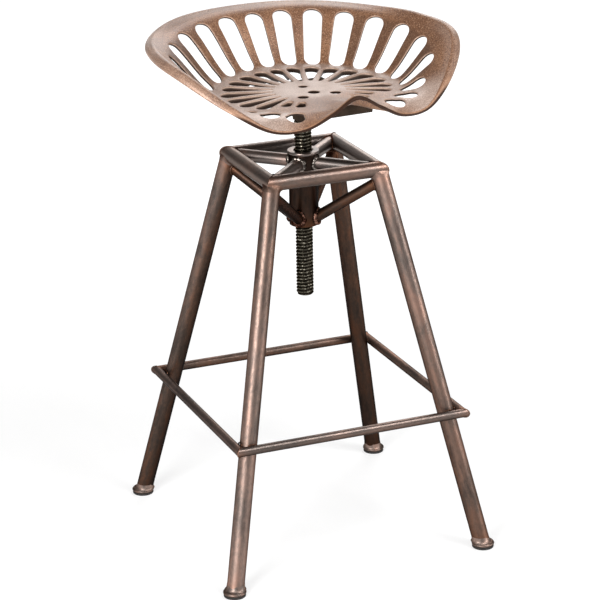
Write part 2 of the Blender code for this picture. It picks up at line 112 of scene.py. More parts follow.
SECTIONS = (  # degrees from the back; in shares of SEAT_RADIUS slot foot, slot head, roll start, roll radius
    (0, (0.620, 0.030), (0.920, 0.365), (1.100, 0.390), 0.045),
    (25, (0.645, 0.020), (0.955, 0.360), (1.135, 0.380), 0.045),
    (50, (0.670, 0.005), (0.980, 0.330), (1.100, 0.365), 0.045),
    (75, (0.690, -0.010), (0.980, 0.290), (1.065, 0.355), 0.045),
    (100, (0.665, -0.015), (0.920, 0.195), (1.050, 0.300), 0.045),
    (120, (0.630, -0.010), (0.795, 0.035), (0.945, 0.100), 0.035),
    (137, (0.600, -0.005), (0.765, -0.010), (0.860, -0.055), 0.025),
    (150, (0.600, 0.000), (0.730, -0.030), (0.780, -0.060), 0.025),
    (165, (0.615, 0.015), (0.670, 0.010), (0.725, 0.030), 0.025),
    (180, (0.590, 0.050), (0.645, 0.075), (0.695, 0.120), 0.025),
)

# Fineness of the meshes
TUBE_SIDES = 48
TUBE_STEP = 0.012
TURNED_SIDES = 72
HUB_ROWS = 24
SCREW_SIDES = 48
BEAD_SIDES = 10
BEAD_STEP = 0.0009
FILLET_SPACING = 0.0012
FILLET_STEPS = 7
BELL_STEPS = 6
RIM_POINTS = 300
ROLL_STEPS = 12
RIM_EDGE_STEPS = 6
LIP_STEPS = 5
LIP_TURNS = [math.pi / 2 * (1 - i / LIP_STEPS) for i in range(LIP_STEPS + 1)]
SLOT_END_POINTS = 13
SLOT_SIDE_POINTS = 12
SLOT_SAMPLES = 90
SLOT_SPARE = 0.006
HOLE_POINTS = 32
SHEET_STEP = 0.0045  # spacing of the seat's inner points
RIM_CLEAR = 0.6  # how many steps these keep from the rim
OPENING_CLEAR = 0.4  # and from the openings

# Shapes that only the looks have
CORNER_SHARE = 0.45  # how much of an edge one rounded corner may take
HUB_ROUND = 0.0009
COLLAR_ROUND = 0.0013
COLLAR_EASE = 0.0004
FLANGE_ROUND = 0.0012
BAR_BEVEL = 0.0011
CROSS_BAR_BEVEL = 0.0016
FOOT_UNDERCUT = 0.0014
FOOT_BELLY = 0.0024
FOOT_ROUND = 0.0026
BELL_LIFT = 0.0001  # the bell is the smooth weld between a foot and its leg
BELL_DEPTH = 0.0014
BELL_FOOT = (0.0030, 0.0006)
BELL_SKIN = 0.0004
BELL_FLARE = 0.0028
BELL_RISE = 0.0075
BELL_TOP = 0.0076
PAD_HOLLOW = 0.0006
PAD_HOLLOW_SHARES = (0.45, 0.5)
PAD_UNDERCUT = 0.0004
PAD_SHOULDER = 0.0006
PAD_ROUND = 0.0007
THREAD_FLANK = ((0.0, 0.0), (0.10, 0.12), (0.19, 0.62), (0.27, 0.94), (0.33, 1.0))  # shares of pitch, depth
THREAD_WIDTH = 0.88
TIP_SLOPE = 0.9
BEAD = {  # radius of the weld beads
    "top_rail": 0.0009,
    "footrest_bar": 0.0010,
    "arm": 0.0030,
    "brace": 0.0036,
    "leg": 0.0018,
    "touch": 0.0011,
    "screw": 0.002,
}
BEAD_RIPPLE = 0.0034
BEAD_SIZE = 0.95
BEAD_LUMPS = 2.2
BEAD_GRIT = 0.07
GRIT_SCALE = 700
SEED_STEP = 3.1
TOUCH_LOOP = (0.0056, 0.0026)  # half length and half height of the weld where a rod touches a leg
SCREW_WELD_OUT = 0.0005
LEG_FILLET = 0.0055  # reach of the smooth weld between a leg and the rails
FILLET_SINK = 0.0002
FILLET_BULGE = 0.0012
FILLET_ROOT = 0.0015
FILLET_LIFT = 1.2
SLOT_LIP = 0.0020  # rounding of a slot's edges
SPOKE_LIP = 0.0022
HOLE_LIP = 0.0011
SPOKE_FLANGE = 0.0045  # how far a spoke's edges are turned down, clear of the bracket
BRACKET_MARGIN = 0.003
RIM_EDGE = 0.0011

# Wear of the finishes, and the light and shade painted into them
GRAIN_SHIFT = Vector((0.37, 0.21, 0.83))  # gives each tube its own stretch of the noises
HEAT_REACH = 0.016
PAINTED_LIGHT_AND_RUB = {  # how light a tube or a kind of tube is at its two ends: painted light and shade, darkest at the hub, and rubbing
    "leg_left_front": (2.05, 1.3),
    "leg_right_front": (1.20, 2.10),
    "leg_left_rear": (0.80, 1.85),
    "leg_right_rear": (0.5, 1.35),
    "top_rail": (1.0, 1.0),
    "top_rail_front": (1.3, 1.45),
    "top_rail_right": (1.3, 1.3),
    "footrest_bar": (1.25, 1.25),
    "footrest_bar_left": (1.35, 1.35),
    "footrest_bar_right": (1.8, 1.8),
    "hub_arm": (1.6, 1.4),
    "hub_brace": (0.50, 0.95),
    "hub_brace_left_rear": (0.35, 0.40),
}
SIDE_LIGHT = 0.42  # painted light: how much lighter a tube's outer side is painted, and painted shade: how much darker its inner side
SIDE_LIGHT_OF = {"leg_left_rear": 0.75, "leg_right_front": 0.20}  # the same for legs on which the painted light falls otherwise
OUTSIDE_LOSS = 0.7  # how much of that a level tube lacks
TOP_LIGHT = 0.75  # painted light: how much lighter a level tube's upper side is painted, and painted shade: how much darker its underside
FILLET_HEAT = 0.5
# The fillets, feet, foot welds and collar are toned lighter as painted highlights.
FILLET_TONE = 1.1
FOOT_TONE = 2.0
BELL_TONE = 3.0
COLLAR_TONE = 2.6
HUB_TONE = (0.26, 0.34)  # everywhere, low as painted shade, and what the hub's lower end has more
HUB_TONE_REACH = 0.014
HUB_HEAT = 1.6
HUB_HEAT_REACH = 0.012
# share of the painted highlight and shade that a spoke's upper lip takes
FLANGE_LIP_SHADE = 0.75
RIM_SHEEN = 0.28  # painted sheen on the rolled rim
# painted sheen on the thigh lobes
LOBE_SHEEN = 0.8

# Finish of the tubes: roughness, tint of the edges, lacquer, saturation, streaks; copies of one finish whose
# gloss and saturation stand in for the light on each group
TUBE_FINISHES = {
    "legs": (0.48, (0.10, 0.08, 0.07), 0.08, 0.95, 0.8),
    "top": (0.44, (0.60, 0.55, 0.51), 0.5, 1.0, 0.35),
    "arms": (0.40, (0.50, 0.47, 0.44), 0.7, 0.70, 0.2),
    "rest": (0.42, (0.10, 0.09, 0.08), 0.2, 0.75, 0.3),
}
RAIL_FINISHES = {
    "top_rail": {"front": "top", "right": "arms", "rear": "arms", "left": "top"},
    "footrest_bar": {"front": "rest", "right": "legs", "rear": "legs", "left": "rest"},
}

# Studio and camera
AMBIENT = 0.25
FLOOR_EXTENT = 300.0
FLOOR_WHITE = (0.82, 0.82, 0.82)
FLOOR_SHADOW = (0.40, 0.40, 0.40)
FLOOR_GLOW = (0.61, 0.93)  # under the object and far off
FLOOR_GLOW_REACH = (0.3, 2.5)
LAMPS = (  # name, place, aim, width, height, watts
    ("key", (-1.75, -1.45, 1.22), (0.0, 0.0, 0.40), 0.95, 1.2, 62.0),
    ("fill", (1.83, -1.45, 0.80), (0.0, 0.0, 0.40), 0.7, 1.2, 21.0),
    ("back", (1.25, 1.85, 2.05), (0.0, 0.0, 0.65), 1.3, 1.1, 20.0),
    ("rear", (1.15, 2.90, 1.20), (0.0, 0.0, 0.65), 3.0, 1.0, 18.0),
    ("front", (0.86, -1.54, 2.19), (0.0, 0.0, 0.6), 0.8, 0.8, 28.0),
)
SENSOR = 36.0
LENS = 149.6
VIEW_END = 1000.0
CAMERA_PLACE = (-1.3097, -3.1599, 1.5825)
CAMERA_RIGHT = Vector((0.92251555, -0.38567717, -0.01477053))
CAMERA_DOWN = Vector((-0.1436428, -0.3075610, -0.9406237))
CAMERA_AHEAD = Vector((0.3582343, 0.8698617, -0.3391295))

CORNERS = {
    "left_rear": (-1, 1),
    "left_front": (-1, -1),
    "right_front": (1, -1),
    "right_rear": (1, 1),
}
SIDES = {
    "front": ("left_front", "right_front"),
    "right": ("right_front", "right_rear"),
    "rear": ("right_rear", "left_rear"),
    "left": ("left_rear", "left_front"),
}
ALONG_X = Vector((1, 0, 0))
ALONG_Y = Vector((0, 1, 0))
UP = Vector((0, 0, 1))


class Shape:
    """A mesh in the making, whose points carry what its finish reads.

    Each has its grain, a place in the piece's own lengthwise frame, and numbers. Those of the steel are
    joint, 1 at a weld, and tone, how light the finish is from rubbing and from painted light and shade.
    """

    def __init__(self, *names):
        self.mesh = bmesh.new()
        layers = self.mesh.verts.layers
        self.grain = layers.float_vector.new("grain")
        self.numbers = [layers.float.new(name) for name in names or ("joint", "tone")]

    def vert(self, place, *numbers, grain=None):
        made = self.mesh.verts.new(place)
        made[self.grain] = made.co if grain is None else grain
        for layer, number in zip(self.numbers, numbers):
            made[layer] = number
        return made

    def strip(self, one, other):
        """Join two rings of as many points and return the second. A ring may be one point that repeats."""
        for i in range(len(one)):
            j = (i + 1) % len(one)
            corners = list(dict.fromkeys((one[i], one[j], other[j], other[i])))
            if len(corners) > 2:
                self.mesh.faces.new(corners)
        return other

    def wrap(self, rings, closed=True):
        """Join each ring to the next, and the last to the first if closed."""
        for one, other in zip(rings, rings[1:] + rings[:closed]):
            self.strip(one, other)


def add_piece(name, shape, material, nodes=(), body="base", slot="bronzed_steel", sharp=40):
    bmesh.ops.recalc_face_normals(shape.mesh, faces=shape.mesh.faces)
    for face in shape.mesh.faces:
        face.smooth = True
    for edge in shape.mesh.edges:
        edge.smooth = edge.calc_face_angle(0.0) < math.radians(sharp)
    mesh = bpy.data.meshes.new(name)
    shape.mesh.to_mesh(mesh)
    shape.mesh.free()
    mesh.materials.append(material)
    piece = bpy.data.objects.new(name, mesh)
    bpy.context.scene.collection.objects.link(piece)
    if nodes:
        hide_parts(*nodes)
    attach(piece, body)


def off_axis(vector, axis):
    """The part of a vector that is square to an axis."""
    return vector - axis * vector.dot(axis)


def unit(vectors):
    return vectors / np.maximum(np.linalg.norm(vectors, axis=-1, keepdims=True), 1e-9)


def circle(count):
    return [2 * math.pi * i / count for i in range(count)]


def loop_at(point, first, second, a, b, count=40):
    return [point + first * (a * math.cos(t)) + second * (b * math.sin(t)) for t in circle(count)]


def bend(start, corner, end, steps):
    """Points of a curve that leaves start and reaches end in the direction of corner."""
    parts = [step / steps for step in range(steps + 1)]
    return [start * (1 - t) ** 2 + corner * (2 * t * (1 - t)) + end * t * t for t in parts]


def rounded(profile, radius, steps=5, keep=()):
    """Outline of radius and height with each corner off the axis rounded, but for the corners in keep."""
    result = []
    for i, point in enumerate(profile):
        here = Vector(point)
        if here.x == 0.0 or i in keep:
            result.append(tuple(here))
            continue
        to_before = Vector(profile[i - 1]) - here
        to_after = Vector(profile[(i + 1) % len(profile)]) - here
        reach = min(radius, CORNER_SHARE * to_before.length, CORNER_SHARE * to_after.length)
        start = here + to_before.normalized() * reach
        end = here + to_after.normalized() * reach
        result += [tuple(spot) for spot in bend(start, here, end, steps)]
    return result


def plane_stop(point, normal):
    """How far a line runs until it meets a plane."""
    return lambda origin, direction: (point - origin).dot(normal) / direction.dot(normal)


def cylinder_stop(point, axis, radius, holds=None):
    """Where a line first meets a round bar, or infinity. Only hits for which holds is true count."""

    def distance(origin, direction):
        across = off_axis(origin - point, axis)
        run = off_axis(direction, axis)
        a = run.dot(run)
        b = across.dot(run)
        c = across.dot(across) - radius * radius
        inside = b * b - a * c
        if inside <= 0.0:
            return math.inf
        hit = (-b - math.sqrt(inside)) / a
        if hit < 0.0 or (holds and not holds(origin + direction * hit)):
            return math.inf
        return hit

    return distance


def across_axes(direction):
    helper = UP if abs(direction.z) < 0.9 else ALONG_X
    first = direction.cross(helper).normalized()
    return first, direction.cross(first)


tube_numbers = itertools.count(1)


def tube(node, start, end, diameter, wall, start_stops, end_stops, material):
    """Straight tube, or rod if wall is None, coped to its stops. Returns the outlines of its two ends."""
    length = (end - start).length
    direction = (end - start).normalized()
    middle = (start + end) / 2
    first, second = across_axes(direction)
    shift = GRAIN_SHIFT * next(tube_numbers)
    low_tone, high_tone = PAINTED_LIGHT_AND_RUB[max((kind for kind in PAINTED_LIGHT_AND_RUB if node.startswith(kind)), key=len)]
    outward = Vector((middle.x, middle.y, 0.0)).normalized()
    level = 1.0 - direction.z * direction.z
    side_light = SIDE_LIGHT_OF.get(node, SIDE_LIGHT)
    lit_way = outward * (side_light * (1.0 - OUTSIDE_LOSS * level)) + UP * (TOP_LIGHT * level)
    shape = Shape()

    def vert(point, near):
        local = point - middle
        along = local.dot(direction)
        facing = (local - direction * along).normalized()
        tone = low_tone + (high_tone - low_tone) * (along / length + 0.5)
        # Painted light on the outer and upper sides, painted shade on the inner side and underneath.
        tone *= 1.0 + facing.dot(lit_way)
        grain = Vector((local.dot(first), local.dot(second), along)) + shift
        return shape.vert(point, math.exp(-near / HEAT_REACH), tone, grain=grain)

    def skin(radius, rows):
        lines = []
        for origin in loop_at(middle, first, second, radius, radius, TUBE_SIDES):
            low = origin - direction * min(stop(origin, -direction) for stop in start_stops)
            high = origin + direction * min(stop(origin, direction) for stop in end_stops)
            lines.append((low, high))
        rings = []
        for row in range(rows + 1):
            part = row / rows
            rings.append([vert(a.lerp(b, part), min(part, 1 - part) * (b - a).length) for a, b in lines])
        shape.wrap(rings, closed=False)
        return rings

    outer = skin(diameter / 2, max(1, round(length / TUBE_STEP)))
    ends = [[corner.co.copy() for corner in ring] for ring in (outer[0], outer[-1])]
    if wall is None:
        shape.mesh.faces.new(outer[0])
        shape.mesh.faces.new(outer[-1])
    else:
        inner = skin(diameter / 2 - wall, 1)
        shape.strip(outer[0], inner[0])
        shape.strip(outer[-1], inner[-1])
    add_piece(f"{node}_tube", shape, material, [node])
    return ends


def leg_half(height):
    return FOOT_HALF + (RAIL_HALF - FOOT_HALF) * height / RAIL_HEIGHT


def foot_half(height):
    return FOOT_HALF


def turned(name, profile, material, nodes, corner=(0, 0), half=leg_half, tone=1.0, wear_and_light=None, **place):
    """Round piece from a closed outline of radius and height, on the stool's axis or at a corner.

    At each height half is how far out the corner lies, and wear_and_light gives joint and tone where they
    change.
    Place is the body if it is not that of the frame, and a slot, which is not used.
    """
    shape = Shape()
    rings = []
    for radius, height in profile:
        x, y = (way * half(height) for way in corner)
        sides = TURNED_SIDES if radius else 1
        spots = [(x + radius * math.cos(a), y + radius * math.sin(a), height) for a in circle(sides)]
        numbers = wear_and_light(height) if wear_and_light else (0.0, tone)
        rings.append([shape.vert(spot, *numbers) for spot in spots] * (TURNED_SIDES // sides))
    shape.wrap(rings)
    add_piece(name, shape, material, nodes, **place)


weld_beads = defaultdict(Shape)


def resample(points, spacing):
    """Points spaced evenly round a closed line, and the line's length."""
    line = np.array([tuple(point) for point in (*points, points[0])])
    lengths = np.concatenate([[0.0], np.cumsum(np.linalg.norm(np.diff(line, axis=0), axis=1))])
    count = max(16, int(round(lengths[-1] / spacing)))
    at = np.linspace(0.0, lengths[-1], count, endpoint=False)
    return np.stack([np.interp(at, lengths, line[:, k]) for k in range(3)], axis=-1), lengths[-1]


def bead(group, points, radius, seed, uneven=0.10, ripple=0.04, tone=1.5):
    """Weld bead along a closed seam, kept for one piece per group. Its lumps follow from the seed."""
    shape = weld_beads[group]
    line, total = resample(points, BEAD_STEP)
    ahead = unit(np.roll(line, -2, axis=0) - np.roll(line, 2, axis=0))
    outward = line - line.mean(axis=0)
    outward = unit(outward - ahead * (outward * ahead).sum(axis=1, keepdims=True))
    aside = np.cross(ahead, outward)
    ripples = max(3, round(total / BEAD_RIPPLE))
    rings = []
    for i, spot in enumerate(line):
        along = i / len(line)
        turn = 2 * math.pi * along
        wave = abs(math.sin(math.pi * ripples * along))
        lump = smooth_noise(Vector((math.cos(turn) * BEAD_LUMPS, math.sin(turn) * BEAD_LUMPS, seed)))
        size = radius * (BEAD_SIZE + ripple * (wave - 0.5) + uneven * lump)
        ring = []
        for k, angle in enumerate(circle(BEAD_SIDES)):
            grit = smooth_noise(Vector(spot) * GRIT_SCALE + Vector((k * 0.9, seed, 0)))
            way = outward[i] * math.cos(angle) + aside[i] * math.sin(angle)
            ring.append(shape.vert(spot + way * (size * (1.0 + BEAD_GRIT * grit)), wave, tone))
        rings.append(ring)
    shape.wrap(rings)


def leg_fillet(group, seam, top, ways, leg_axis, tone):
    """Smooth weld that runs from a leg's side out along the rails, all round the leg's coped end."""
    shape = weld_beads[group]
    rings = []
    for spot in resample(seam, FILLET_SPACING)[0]:
        spot = Vector(spot)
        offset = spot - top
        rail = max(ways, key=offset.dot)
        off_leg = off_axis(offset, leg_axis).normalized()
        off_rail = off_axis(offset, rail).normalized()
        flush = max(0.0, off_leg.dot(off_rail)) ** 2
        away = off_axis(off_leg + UP * (FILLET_LIFT * flush), off_rail).normalized()
        on_rail = offset + away * LEG_FILLET
        run = max(on_rail.dot(way) for way in ways)
        far = top + off_axis(on_rail, rail).normalized() * (RAIL_DIAMETER / 2 - FILLET_SINK) + rail * run
        near = spot - leg_axis * LEG_FILLET - off_leg * FILLET_SINK
        ring = bend(near, spot + off_leg * (FILLET_BULGE * flush), far, FILLET_STEPS)
        ring.append(spot - (off_leg + off_rail) * FILLET_ROOT)
        rings.append([shape.vert(point, FILLET_HEAT, tone) for point in ring])
    shape.wrap(rings)


def corner_point(corner, half, height):
    return Vector((corner[0] * half, corner[1] * half, height))


def below_rail(point):
    return point.z < RAIL_HEIGHT


def nearer(top, way, other):
    """Test whether a place lies along one rail of a corner rather than along the other."""
    return lambda place: (place - top).dot(way) >= (place - top).dot(other)


def build_rails(steels):
    """Top square and footrest, mitred and welded at the corners. Returns the last seed used."""
    slope = (FOOT_HALF - RAIL_HALF) / RAIL_HEIGHT
    reach = (LEG_DIAMETER / 2 + FOOTREST_DIAMETER / 2 + WELD_GAP) * math.hypot(1, slope)
    rest_half = leg_half(FOOTREST_HEIGHT) + reach
    seed = 0.0
    for side, ends in SIDES.items():
        for kind, half, height, diameter, wall in (
            ("top_rail", RAIL_HALF, RAIL_HEIGHT, RAIL_DIAMETER, TUBE_WALL),
            ("footrest_bar", rest_half, FOOTREST_HEIGHT, FOOTREST_DIAMETER, None),
        ):
            start, end = (corner_point(CORNERS[name], half, height) for name in ends)
            mitres = []
            for name, point in zip(ends, (start, end)):
                x, y = CORNERS[name]
                normal = Vector((-y, x, 0)).normalized()
                normal = normal if normal.dot((start + end) / 2 - point) > 0 else -normal
                mitres.append(plane_stop(point + normal * (WELD_GAP / 2), normal))
            steel = steels[RAIL_FINISHES[kind][side]]
            seam, _ = tube(f"{kind}_{side}", start, end, diameter, wall, mitres[:1], mitres[1:], steel)
            seed += SEED_STEP
            bead("frame_welds", seam, BEAD[kind], seed, uneven=0.2)
    return seed


def build_corner(name, corner, seed, steels):
    """Leg, hub arm and hub brace of one corner, with their welds and those of the footrest."""
    top = corner_point(corner, RAIL_HALF, RAIL_HEIGHT)
    foot = corner_point(corner, FOOT_HALF, 0.0)
    leg_axis = (top - foot).normalized()
    ways = (ALONG_X * -corner[0], ALONG_Y * -corner[1])  # in which the two rails leave this corner
    fit = RAIL_DIAMETER / 2 + WELD_GAP
    floor_stop = plane_stop(UP * (PAD_THICKNESS + FOOT_THICKNESS + 2 * WELD_GAP), UP)
    leg_stops = [plane_stop(top - UP * (LEG_COPE * RAIL_DIAMETER), UP)]
    leg_stops += [cylinder_stop(top, way, fit, nearer(top, way, other)) for way, other in (ways, ways[::-1])]
    node = f"leg_{name}"
    _, seam = tube(node, foot, top, LEG_DIAMETER, TUBE_WALL, [floor_stop], leg_stops, steels["legs"])
    leg_fillet("frame_welds", seam, top, ways, leg_axis, PAINTED_LIGHT_AND_RUB[node][1] * FILLET_TONE)

    hub = [cylinder_stop(Vector(), UP, HUB_DIAMETER / 2 + WELD_GAP)]
    leg = [cylinder_stop(foot, leg_axis, LEG_DIAMETER / 2 + WELD_GAP, below_rail)]
    leg += [cylinder_stop(top, way, fit) for way in ways]
    low = UP * RAIL_HEIGHT
    near, far = tube(f"hub_arm_{name}", low, top, ARM_DIAMETER, TUBE_WALL, hub, leg, steels["arms"])
    bead("hub_welds", near, BEAD["arm"], seed + 0.4, uneven=0.6, ripple=0.16)
    bead("frame_welds", far, BEAD["leg"], seed + 0.9, tone=0.8)
    low = UP * BRACE_LOW
    high = corner_point(corner, leg_half(BRACE_HIGH), BRACE_HIGH)
    near, far = tube(f"hub_brace_{name}", low, high, BRACE_DIAMETER, TUBE_WALL, hub, leg, steels["legs"])
    bead("hub_low_welds", near, BEAD["brace"], seed + 2.2, uneven=0.5, ripple=0.12)
    bead("frame_welds", far, BEAD["leg"], seed + 2.6, tone=1.0)

    # A rod of the footrest touches the leg on each outer side and is welded round that place.
    leg_here = corner_point(corner, leg_half(FOOTREST_HEIGHT), FOOTREST_HEIGHT)
    for axis, rod in ((ALONG_X, -ways[1]), (ALONG_Y, -ways[0])):
        side_way = off_axis(rod, leg_axis).normalized()
        touch = leg_here + side_way * (LEG_DIAMETER / 2 + WELD_GAP / 2)
        loop = loop_at(touch, axis, side_way.cross(axis).normalized(), *TOUCH_LOOP)
        bead("frame_welds", loop, BEAD["touch"], seed + 2.9, uneven=0.3, tone=1.2)


def build_frame(steels):
    seed = build_rails(steels)
    for name, corner in CORNERS.items():
        seed += SEED_STEP
        build_corner(name, corner, seed, steels)


def foot_disc(low, high):
    radius = FOOT_DIAMETER / 2
    waist = (radius, low + FOOT_BELLY)
    outline = ((0.0, low), (radius - FOOT_UNDERCUT, low), waist, (radius - FOOT_ROUND, high), (0.0, high))
    return rounded(outline, FOOT_ROUND)


def foot_bell(low):
    """Outline of the smooth weld that widens from a leg to its foot."""
    leg = LEG_DIAMETER / 2
    bell = [(leg - BELL_DEPTH, low), (leg + BELL_FOOT[0], low - BELL_FOOT[1])]
    for step in range(1, BELL_STEPS + 1):
        part = step / BELL_STEPS
        bell.append((leg + BELL_SKIN + BELL_FLARE * (1 - part) ** 2, low + BELL_RISE * part * part))
    bell.append((leg - BELL_DEPTH, low + BELL_TOP))
    return bell


def foot_pad():
    radius = PAD_DIAMETER / 2
    hollow, edge = (radius * share for share in PAD_HOLLOW_SHARES)
    outline = [(0.0, PAD_HOLLOW), (hollow, PAD_HOLLOW), (edge, 0.0), (radius - PAD_UNDERCUT, 0.0)]
    outline += [(radius, PAD_THICKNESS / 2), (radius - PAD_SHOULDER, PAD_THICKNESS), (0.0, PAD_THICKNESS)]
    return rounded(outline, PAD_ROUND, steps=3)


def build_feet(steel, rubber):
    low = PAD_THICKNESS + WELD_GAP
    high = low + FOOT_THICKNESS
    disc = foot_disc(low, high)
    bell = foot_bell(high + BELL_LIFT)
    pad = foot_pad()
    for name, corner in CORNERS.items():
        foot = f"foot_{name}"
        turned(f"{foot}_disc", disc, steel, [foot], corner, foot_half, FOOT_TONE)
        turned(f"{foot}_weld", bell, steel, [], corner, leg_half, BELL_TONE)
        under = f"foot_pad_{name}"
        turned(f"{under}_rubber", pad, rubber, [under], corner, foot_half, slot="black_rubber")


def build_hub(steel, arm_steel):
    bore = SCREW_DIAMETER / 2 + SCREW_PLAY
    radius = HUB_DIAMETER / 2
    heights = np.linspace(HUB_BOTTOM, HUB_TOP, HUB_ROWS)
    outline = [(bore, HUB_BOTTOM), *((radius, height) for height in heights), (bore, HUB_TOP)]
    shell = rounded(outline, HUB_ROUND, 3, keep=range(2, HUB_ROWS))

    def wear_and_light(height):
        above = height - HUB_BOTTOM
        # The hub is painted in shade, less so at its heated lower end.
        tone = HUB_TONE[0] + HUB_TONE[1] * math.exp(-above / HUB_TONE_REACH)
        return HUB_HEAT * math.exp(-above / HUB_HEAT_REACH), tone

    turned("hub_tube_shell", shell, steel, ["hub_tube"], wear_and_light=wear_and_light)
    low = HUB_TOP + WELD_GAP
    high = low + COLLAR_THICKNESS
    radius = COLLAR_DIAMETER / 2
    ring = rounded(((bore, low), (radius, low), (radius, high), (bore + COLLAR_EASE, high)), COLLAR_ROUND)
    turned("hub_collar_ring", ring, arm_steel, ["hub_collar"], tone=COLLAR_TONE)


def build_screw(screw_steel, dark):
    flange_top = BRACKET_TOP - BRACKET_WALL - WELD_GAP
    flange_low = flange_top - FLANGE_THICKNESS
    radius = FLANGE_DIAMETER / 2
    outline = ((0.0, flange_low), (radius, flange_low), (radius, flange_top), (0.0, flange_top))
    disc = rounded(outline, FLANGE_ROUND)
    turned("screw_flange_disc", disc, dark, ["screw_flange"], body="lift", slot="dark_steel")

    # Right-hand thread: each row of points follows the helix.
    major = SCREW_DIAMETER / 2
    tip = major - SCREW_CHAMFER
    top = flange_low - WELD_GAP
    profile = [*THREAD_FLANK, *((THREAD_WIDTH - part, lift) for part, lift in reversed(THREAD_FLANK))]
    shape = Shape()
    rings = []
    for lap in range(-1, int((top - SCREW_BOTTOM) / THREAD_PITCH) + 3):
        for part, lift in profile:
            ring = []
            for i, angle in enumerate(circle(SCREW_SIDES)):
                height = SCREW_BOTTOM + (lap + part + i / SCREW_SIDES) * THREAD_PITCH
                height = min(max(height, SCREW_BOTTOM), top)
                size = major - THREAD_DEPTH * (1 - lift)
                size = min(size, tip + (height - SCREW_BOTTOM) * TIP_SLOPE, tip + (top - height))
                ring.append(shape.vert((size * math.cos(angle), size * math.sin(angle), height), lift))
            rings.append(ring)
    # The end of a row meets the start of the row one lap on.
    rows = [ring + later[:1] for ring, later in zip(rings, rings[len(profile):])]
    rows += rings[len(rows):]
    for row, above in zip(rows, rows[1:]):
        for i in range(min(len(row), len(above)) - 1):
            shape.mesh.faces.new((row[i], row[i + 1], above[i + 1], above[i]))
    bmesh.ops.remove_doubles(shape.mesh, verts=shape.mesh.verts, dist=2e-5)
    open_edges = [edge for edge in shape.mesh.edges if edge.is_boundary]
    bmesh.ops.holes_fill(shape.mesh, edges=open_edges, sides=0)
    add_piece("screw_thread", shape, screw_steel, ["screw"], "turn", "dark_steel", sharp=50)
    weld = major + SCREW_WELD_OUT
    bead("screw_weld", loop_at(UP * top, ALONG_X, ALONG_Y, weld, weld, 72), BEAD["screw"], 5.3)


def bevelled(name, outline, low, high, material, nodes, edge):
    """A straight bar of the given outline in X and Z, from low to high along Y, turned with the seat."""
    shape = Shape()
    mesh = shape.mesh
    face = mesh.faces.new([mesh.verts.new((x, low, z)) for x, z in outline])
    grown = bmesh.ops.extrude_face_region(mesh, geom=[face])["geom"]
    moved = [item for item in grown if isinstance(item, bmesh.types.BMVert)]
    bmesh.ops.translate(mesh, verts=moved, vec=(0, high - low, 0))
    bmesh.ops.recalc_face_normals(mesh, faces=mesh.faces)
    sharp = [item for item in mesh.edges if item.calc_face_angle(0.0) > 0.5]
    bmesh.ops.bevel(mesh, geom=sharp, offset=edge, segments=3, profile=0.5, affect="EDGES")
    for corner in mesh.verts:
        corner[shape.grain] = corner.co.xzy
    bmesh.ops.rotate(mesh, verts=mesh.verts, cent=(0, 0, 0), matrix=Matrix.Rotation(SEAT_TURN, 3, "Z"))
    add_piece(name, shape, material, nodes, "turn", "dark_steel", sharp=50)


def build_bracket(dark):
    """Channel under the seat and a flat bar across each of its ends."""
    half = BRACKET_WIDTH / 2
    inner = half - BRACKET_WALL
    low = BRACKET_TOP - BRACKET_DEPTH
    ledge = BRACKET_TOP - BRACKET_WALL
    back = BRACKET_BACK - CROSS_BAR_WIDTH
    front = CROSS_BAR_WIDTH - BRACKET_FRONT
    section = [(-half, low), (-inner, low), (-inner, ledge), (inner, ledge), (inner, low), (half, low)]
    section += [(half, BRACKET_TOP), (-half, BRACKET_TOP)]
    ends = (front + WELD_GAP, back - WELD_GAP)
    bevelled("seat_bracket_channel", section, *ends, dark, ["seat_bracket"], BAR_BEVEL)
    half = CROSS_BAR_LENGTH / 2
    bar = ((-half, low), (half, low), (half, BRACKET_TOP), (-half, BRACKET_TOP))
    for name, near in (("rear", back), ("front", -BRACKET_FRONT)):
        node = f"seat_cross_bar_{name}"
        bevelled(f"{node}_flat", bar, near, near + CROSS_BAR_WIDTH, dark, [node], CROSS_BAR_BEVEL)


def hermite(x, x0, x1, y0, y1, d0, d1):
    h = x1 - x0
    t = np.clip((x - x0) / h, 0.0, 1.0)
    low = (1 + 2 * t) * (1 - t) ** 2
    high = t * t * (3 - 2 * t)
    return low * y0 + high * y1 + h * (t * (1 - t) ** 2 * d0 - t * t * (1 - t) * d1)


def around(values):
    """A size of the sections as a smooth function of the angle from the back, level at back and front."""
    stations = np.radians([section[0] for section in SECTIONS])
    values = SEAT_RADIUS * np.array(values)
    step = np.diff(stations)
    rise = np.diff(values) / step
    slope = np.zeros(len(values))
    slope[1:-1] = (rise[:-1] * step[1:] + rise[1:] * step[:-1]) / (step[:-1] + step[1:])

    def at(angle):
        i = np.clip(np.searchsorted(stations, angle) - 1, 0, len(step) - 1)
        return hermite(angle, stations[i], stations[i + 1], values[i], values[i + 1], slope[i], slope[i + 1])

    return at


def knot_line(column):
    """Radius and height of one of the sections' knots, all round the seat."""
    return [around([section[column][i] for section in SECTIONS]) for i in (0, 1)]


FOOT_R, FOOT_Z = knot_line(1)
HEAD_R, HEAD_Z = knot_line(2)
ROLL_R, ROLL_Z = knot_line(3)
ROLL = around([section[4] for section in SECTIONS])
RIM_TURN = np.arange(RIM_POINTS) * 2 * math.pi / RIM_POINTS
RIM_FROM_BACK = np.abs((RIM_TURN + math.pi) % (2 * math.pi) - math.pi)
RIM_RADIUS = ROLL_R(RIM_FROM_BACK)
RIM_OUT = np.stack([np.sin(RIM_TURN), np.cos(RIM_TURN), np.zeros_like(RIM_TURN)], axis=-1)
SEAT_PLACE = Matrix.Rotation(SEAT_TURN, 4, "Z") @ Matrix.Translation((0.0, -PAN_FORWARD, SEAT_PLANE))


